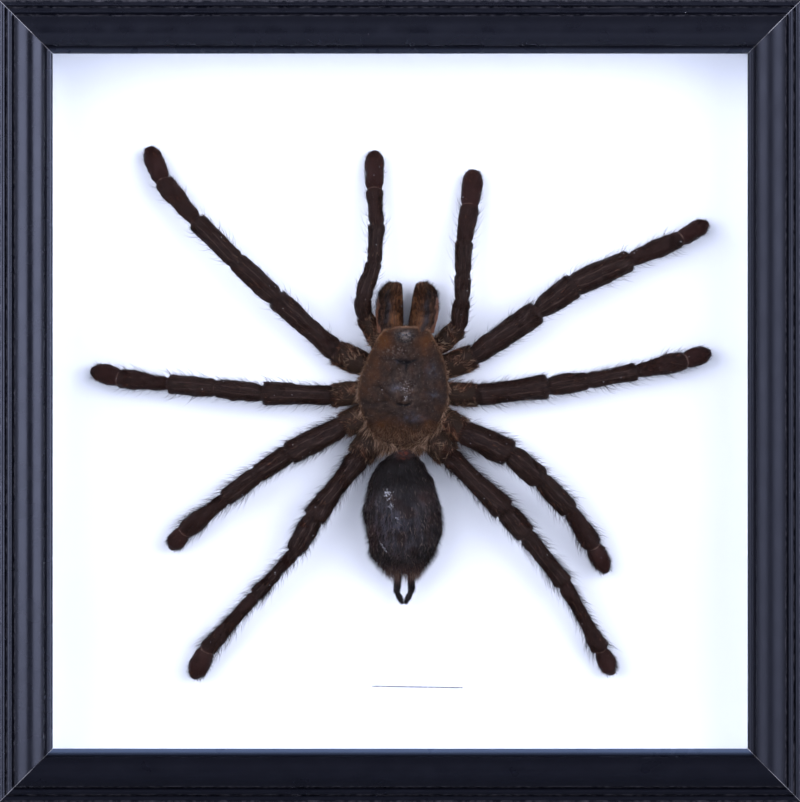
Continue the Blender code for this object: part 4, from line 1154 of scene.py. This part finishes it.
def build_spinnerets(skin, hair):
    """Two slender two-jointed spinnerets whose tips lean together."""
    for seed, (name, corners) in enumerate(SPINNERETS.items()):
        first, second = (np.array(corners[i + 1]) - corners[i] for i in (0, 1))
        knee = np.linalg.norm(first)
        whole = knee + np.linalg.norm(second)
        run = np.linspace(0.0, whole, 70)
        flat = np.where(run[:, None] < knee, corners[0] + first * (run / knee)[:, None],
                        corners[1] + second * ((run - knee) / (whole - knee))[:, None])
        share = run / whole
        width = 0.92 * through(SPINNERET_WIDTHS, share)
        line = tube(np.column_stack([smoothed(flat, np.ones(7) / 7), 4.6 - 0.8 * share]), width, width)
        mesh = skin_mesh(name, tube_rings(line, 24, lumpy((0.05, 0.8, 90))), line.run)
        give(mesh, dark=np.full(len(mesh.vertices), 0.4))
        add_piece(f"spinneret_{name}_skin", mesh, skin, "abdomen", f"spinneret_{name}")
        rng = np.random.default_rng(41 + seed)
        count = 1100
        points, out, along = on_tube(line, rng.uniform(1, 66, count), rng.uniform(0, TAU, count))
        ways = leaning(along, out, rng.uniform(15, 45, count), rng.normal(0, 0.1, (count, 3)))
        coat = hair_mesh("coat", points - out * 0.05, ways, rng.uniform(0.35, 0.75, count), 0.045,
                         along * 0.2, 0.14 + 0.09 * rng.normal(size=count))
        add_piece(f"spinneret_{name}_coat", coat, hair, "abdomen")


# ---------------------------------------------------------------- jaws

FANG_WIDTHS = ((0, 1.0), (0.3, 0.9), (0.6, 0.65), (0.85, 0.35), (1.0, 0.08))


def jaw_tube(rows):
    """A jaw base's tube from its edges, with its rings set across it."""
    rows = np.array(rows)
    up = rows[0, 0] + (rows[-1, 0] - rows[0, 0]) * np.sin(np.linspace(0, math.pi / 2, 90))
    inner, outer = through(rows[:, :2], up), through(rows[:, ::2], up)
    width = np.abs(inner - outer) - 0.25
    share = (up - up[0]) / (up[-1] - up[0])
    middle = np.column_stack([(inner + outer) / 2, up, 5.0 - 0.9 * share ** 2])
    return straightened(tube(middle, width, 7.0 * (width / width.max()) ** 0.8), 1.0)


def jaw_looks(inwards, up):
    """Shares of orange fur, painted blue-tinted sheen, pinkish side and black, from a jaw's outer (-1) to
    inner edge.
    """
    inwards = inwards + 0.07 * np.sin(1.1 * up + 1.0) + 0.04 * np.sin(2.7 * up)
    return {"amber": step_up(-0.12, 0.25, inwards) + 0.55 * blob(inwards, up, (-0.50, 19.5), (0.16, 4.6)),
            "painted_sheen": 0.30 * blob(inwards, up, (-0.16, 19.5), (0.18, 3.4)),
            "fleshy": step_up(-0.74, -0.86, inwards) * step_up(23.0, 22.0, up),
            "dark": spots(inwards, up, ((1.9, -0.34, 22.6, 0.11, 0.50), (0.5, -0.68, 19.0, 0.06, 4.0),
                                        (0.6, -0.30, 20.0, 0.06, 3.0)))}


def jaw_coat(line, hand, rng):
    """A jaw's coat, combed forwards, with some bristles on its top and outer side."""
    count = 5200
    at = rng.uniform(2, 87, count)
    angle = rng.uniform(-0.5, math.pi + 0.5, count)
    points, out, along = on_tube(line, at, angle)
    inwards = -hand * np.cos(angle) * line.left[0, 0]
    looks = jaw_looks(inwards, points[:, 1])
    bare = np.maximum(looks["fleshy"], 1.5 * blob(inwards, points[:, 1], (-0.38, 22.9), (0.20, 1.0)))
    keep = rng.uniform(size=count) > bare
    points, out, along, inwards = points[keep], out[keep], along[keep], inwards[keep]
    amber, dark = np.clip(looks["amber"][keep], 0, 1), np.clip(looks["dark"][keep], 0, 1)
    count = len(points)
    ways = leaning(along, out, rng.uniform(6, 26, count), rng.normal(0, 0.10, (count, 3)))
    combed = np.column_stack([inwards * 2.9, points[:, 1] * 0.12, np.zeros(count)])
    shade = (0.25 + 0.09 * rng.normal(size=count) + 0.12 * ripples(combed, 0.26, 33)
             + 0.08 * looks["amber"][keep] + 0.20 * step_up(21.8, 24.0, points[:, 1]) - 0.14 * dark)
    coat = hair_mesh("coat", points - out * 0.06, ways, rng.uniform(0.4, 0.8, count), 0.070, along * 0.15,
                     shade, 1, 0.35 * amber)
    count = 500
    at = rng.uniform(20, 88, count)
    outer = 0.0 if hand < 0 else math.pi
    angle = np.where(rng.uniform(size=count) < 0.6, outer, math.pi / 2) + rng.normal(0, 0.6, count)
    points, out, along = on_tube(line, at, angle)
    ways = leaning(along, out, rng.uniform(20, 50, count))
    long = hair_mesh("long", points - out * 0.06, ways, rng.uniform(0.6, 1.3, count), 0.045, along * 0.3,
                     0.15 + 0.1 * rng.normal(size=count), 2)
    return joined("coat", coat, long)


def build_chelicerae(shell, hair, horn):
    """The two jaw bases with their fur, and the fangs folded under them."""
    for seed, (name, rows) in enumerate(JAWS.items()):
        hand = -1 if name == "left" else 1
        line = jaw_tube(rows)
        rings = tube_rings(line, 56, lumpy((0.10, 2.0, 60 + seed), (0.04, 0.6, 70 + seed)))
        mesh = skin_mesh(f"chelicera_{name}", rings, line.run)
        inwards = -hand * (rings[..., 0] - line.middle[:, None, 0]) / line.wide[:, None]
        give_skin(mesh, jaw_looks(inwards, rings[..., 1]))
        add_piece(f"chelicera_{name}_skin", mesh, shell, "carapace", f"chelicera_{name}")
        coat = jaw_coat(line, hand, np.random.default_rng(31 + seed))
        add_piece(f"chelicera_{name}_coat", coat, hair, "carapace")
        place = np.linspace(0.0, 1.0, 40)
        width = through(FANG_WIDTHS, place)
        middle = np.column_stack([np.full(40, line.middle[60, 0]), 23.4 - 5.0 * place,
                                  1.5 - 0.7 * np.sin(math.pi * place)])
        fang = skin_mesh(f"fang_{name}", tube_rings(tube(middle, width * 1.5, width * 1.4), 20))
        add_piece(f"fang_{name}_skin", fang, horn, "fang", f"fang_{name}")


# ---------------------------------------------------------------- dust and crusts

# Marks that can be told apart on the body: place, number of grains, their scatter and their size
CRUSTS = (((-2.65, -19.4), 46, (0.48, 0.62), 0.095), ((-1.95, -21.6), 24, (0.42, 0.42), 0.075),
          ((-0.87, -24.4), 9, (0.28, 0.20), 0.085), ((1.06, 0.9), 7, (0.16, 0.36), 0.07),
          ((-3.98, 2.65), 1, (0.0, 0.0), 0.10), ((0.95, 3.3), 8, (0.75, 0.45), 0.075),
          ((0.2, 20.3), 1, (0.0, 0.0), 0.10))
SCRATCH = ((-4.4, -29.5), (-3.0, -31.5))
CRUMBS = ((-13.2, -28.0, 0.03), (-9.2, -28.6, 0.03), (25.6, 22.4, 0.03), (-31.0, 12.6, 0.03))
CRUMB_SIZES = (0.16, 0.10, 0.09, 0.08)


def skin_height(across, up):
    """Height of the top of the body over the card at a place on the abdomen, the carapace or a jaw."""
    if up > 16.0:
        return 8.6
    if up > -9.0:
        return BRIM + DOME + 0.1
    line = abdomen_line()
    ring = int(np.argmin(np.abs(line.middle[:, 1] - up)))
    lean = (across - line.middle[ring, 0]) / line.wide[ring]
    return line.middle[ring, 2] + line.tall[ring] * math.sqrt(max(1 - lean ** 2, 0.1))


def grains(places, sizes, flat, rng):
    """Mesh of small irregular eight-sided lumps."""
    corners = np.array([(1, 0, 0), (0, 1, 0), (-1, 0, 0), (0, -1, 0), (0, 0, 1), (0, 0, -1)]) * (1, 1, flat)
    faces = np.array([(0, 1, 4), (1, 2, 4), (2, 3, 4), (3, 0, 4), (1, 0, 5), (2, 1, 5), (3, 2, 5), (0, 3, 5)])
    places, sizes = np.array(places), np.array(sizes)
    count = len(places)
    lumps = corners[None] * sizes[:, None, None] * rng.uniform(0.55, 1.25, (count, 6, 1)) + places[:, None]
    listed = (np.arange(count)[:, None, None] * 6 + faces[None]).reshape(-1, 3)
    return new_mesh("grains", on_card(lumps.reshape(-1, 3)), listed)


def build_dust(material):
    """White grains caught in the fur, the pale crusts on the abdomen, and a few crumbs on the card."""
    rng = np.random.default_rng(71)
    places, sizes = [], []
    for centre, count, scatter, size in CRUSTS:
        for _ in range(count):
            across, up = np.array(centre) + rng.normal(size=2) * scatter
            places.append((across, up, skin_height(across, up) + 0.32))
            sizes.append(size * rng.uniform(0.5, 1.1))
    start, end = np.array(SCRATCH)
    for share in np.linspace(0, 1, 13):
        across, up = start + (end - start) * share + rng.normal(0, 0.10, 2)
        places.append((across, up, skin_height(across, up) + 0.28))
        sizes.append(rng.uniform(0.06, 0.13))
    for start, pieces in LIMBS.values():
        line = limb_line(start, pieces)
        joints = np.flatnonzero(np.diff(line.piece))
        for ring in np.concatenate([rng.integers(6, len(line.middle) - 6, 7), joints[2:]]):
            angle = rng.choice([0.15, math.pi - 0.15]) if ring in joints else rng.uniform(0.5, 2.6)
            point, out, _ = on_tube(line, np.array([float(ring)]), np.array([angle]))
            places.append(point[0] + out[0] * 0.34)
            sizes.append(rng.uniform(0.055, 0.105) * (1.4 if ring in joints else 1.0))
    add_piece("dust_on_body", grains(places, sizes, 0.45, rng), material, None)
    add_piece("crumbs_on_card", grains(CRUMBS, CRUMB_SIZES, 0.4, rng), material, None)


# ---------------------------------------------------------------- camera, lights and surroundings

LAMP_COLOUR = (0.86, 0.885, 1.10)
LAMPS = {"lamp_left": (-1.10, 43.0), "lamp_right": (1.10, 46.0)}  # place across, and power
ROOM_LIGHT = (0.50, 0.34, 0.40)  # level with the frame, above it, and the share of it left below
CAMERA_AWAY = 6.0
VIEW_WIDTH = 0.1705  # what the picture's height spans at the front of the frame
PICTURE = (800, 802)
CENTRE_SEEN = (400.2, 401.15)  # where the middle of the frame lies in the picture


def build_camera():
    data = bpy.data.cameras.new("camera")
    data.lens = data.sensor_width * CAMERA_AWAY / VIEW_WIDTH
    data.clip_end = 50.0
    data.shift_x = (PICTURE[0] / 2 - CENTRE_SEEN[0]) / PICTURE[1]
    data.shift_y = (CENTRE_SEEN[1] - PICTURE[1] / 2) / PICTURE[1]
    camera = bpy.data.objects.new("camera", data)
    camera.location = (CENTRE.x, FRONT - CAMERA_AWAY, CENTRE.z)
    camera.rotation_euler = (math.pi / 2, 0.0, 0.0)
    bpy.context.scene.collection.objects.link(camera)
    bpy.context.scene.camera = camera


def add_lamp(name, across, power):
    """A large soft lamp in front of the frame and to its side, turned to the frame's middle."""
    data = bpy.data.lights.new(name, "AREA")
    data.shape = "RECTANGLE"
    data.size, data.size_y = 1.5, 2.0
    data.energy = power
    data.color = LAMP_COLOUR
    lamp = bpy.data.objects.new(name, data)
    lamp.location = (across, -1.25, 0.10)
    lamp.rotation_euler = (lamp.location - CENTRE).to_track_quat("Z", "Y").to_euler()
    bpy.context.scene.collection.objects.link(lamp)


def build_world():
    """A pale room, dimmer above and below, and dark where the camera stands so the pane mirrors nothing."""
    world = bpy.data.worlds.new("studio")
    bpy.context.scene.world = world
    world.use_nodes = True
    nodes, links = world.node_tree.nodes, world.node_tree.links

    def add(kind, *sources, **settings):
        node = nodes.new("ShaderNode" + kind)
        for name, value in settings.items():
            setattr(node, name, value)
        for socket, source in zip(node.inputs, sources):
            if isinstance(source, bpy.types.NodeSocket):
                links.new(source, socket)
            else:
                socket.default_value = source
        return node.outputs

    def blend(value, low, high, start, end):
        return add("MapRange", value, low, high, start, end, interpolation_type="SMOOTHSTEP")[0]

    level, top, below = ROOM_LIGHT
    way = add("SeparateXYZ", add("TexCoord")["Generated"])
    room = add("Math", blend(way["Z"], 0.2, 0.85, level, top), blend(way["Z"], -0.2, -0.85, 1.0, below),
               operation="MULTIPLY")[0]
    mirrored = add("Math", room, blend(way["Y"], -0.99, -0.80, 0.02, 1.0), operation="MULTIPLY")[0]
    strength = add("Mix", add("LightPath")["Is Camera Ray"], (0.5, 0.5, 0.5), mirrored, 0.80)[0]
    background = nodes["Background"]
    background.inputs["Color"].default_value = (*LAMP_COLOUR, 1.0)
    links.new(strength, background.inputs["Strength"])


def build_floor():
    """A wide pale floor that starts a little in front of the frame."""
    bm = bmesh.new()
    bmesh.ops.create_grid(bm, x_segments=8, y_segments=8, size=6.0)
    mesh = bpy.data.meshes.new("floor")
    bm.to_mesh(mesh)
    bm.free()
    floor = bpy.data.objects.new("floor", mesh)
    floor.location = (0.0, 5.4, CAD_BOX[0].z - 0.0002)
    mesh.materials.append(floor_look())
    bpy.context.scene.collection.objects.link(floor)


# ---------------------------------------------------------------- the whole specimen

build_camera()
build_world()
build_floor()
for lamp, (across, power) in LAMPS.items():
    add_lamp(lamp, across, power)
bpy.context.scene.view_settings.view_transform = "Standard"

build_moulding()
finish_filling()

LEG_HAIR = hair_look("leg_hair", (0.05, (0.0052, 0.0023, 0.0017)), (0.35, (0.0260, 0.0112, 0.0076)),
                     (0.68, (0.150, 0.090, 0.054)), (1.0, (0.38, 0.275, 0.185)))
BODY_HAIR = hair_look("body_hair", (0.05, (0.0050, 0.0034, 0.0030)), (0.30, (0.019, 0.0105, 0.0075)),
                      (0.46, (0.055, 0.027, 0.0125)), (0.66, (0.185, 0.102, 0.062)),
                      (1.0, (0.45, 0.295, 0.200)))
TAIL_HAIR = hair_look("tail_hair", (0.05, (0.0046, 0.0033, 0.0029)), (0.28, (0.0175, 0.0125, 0.0113)),
                      (0.60, (0.080, 0.056, 0.047)), (1.0, (0.40, 0.31, 0.24)))
ABDOMEN = abdomen_look()
HORN = horn_look()

build_limbs(limb_look(), LEG_HAIR)
build_prosoma(carapace_look(), BODY_HAIR, HORN)
build_abdomen(ABDOMEN, TAIL_HAIR)
build_chelicerae(jaw_look(), BODY_HAIR, HORN)
build_spinnerets(ABDOMEN, TAIL_HAIR)
build_dust(crumb_look())
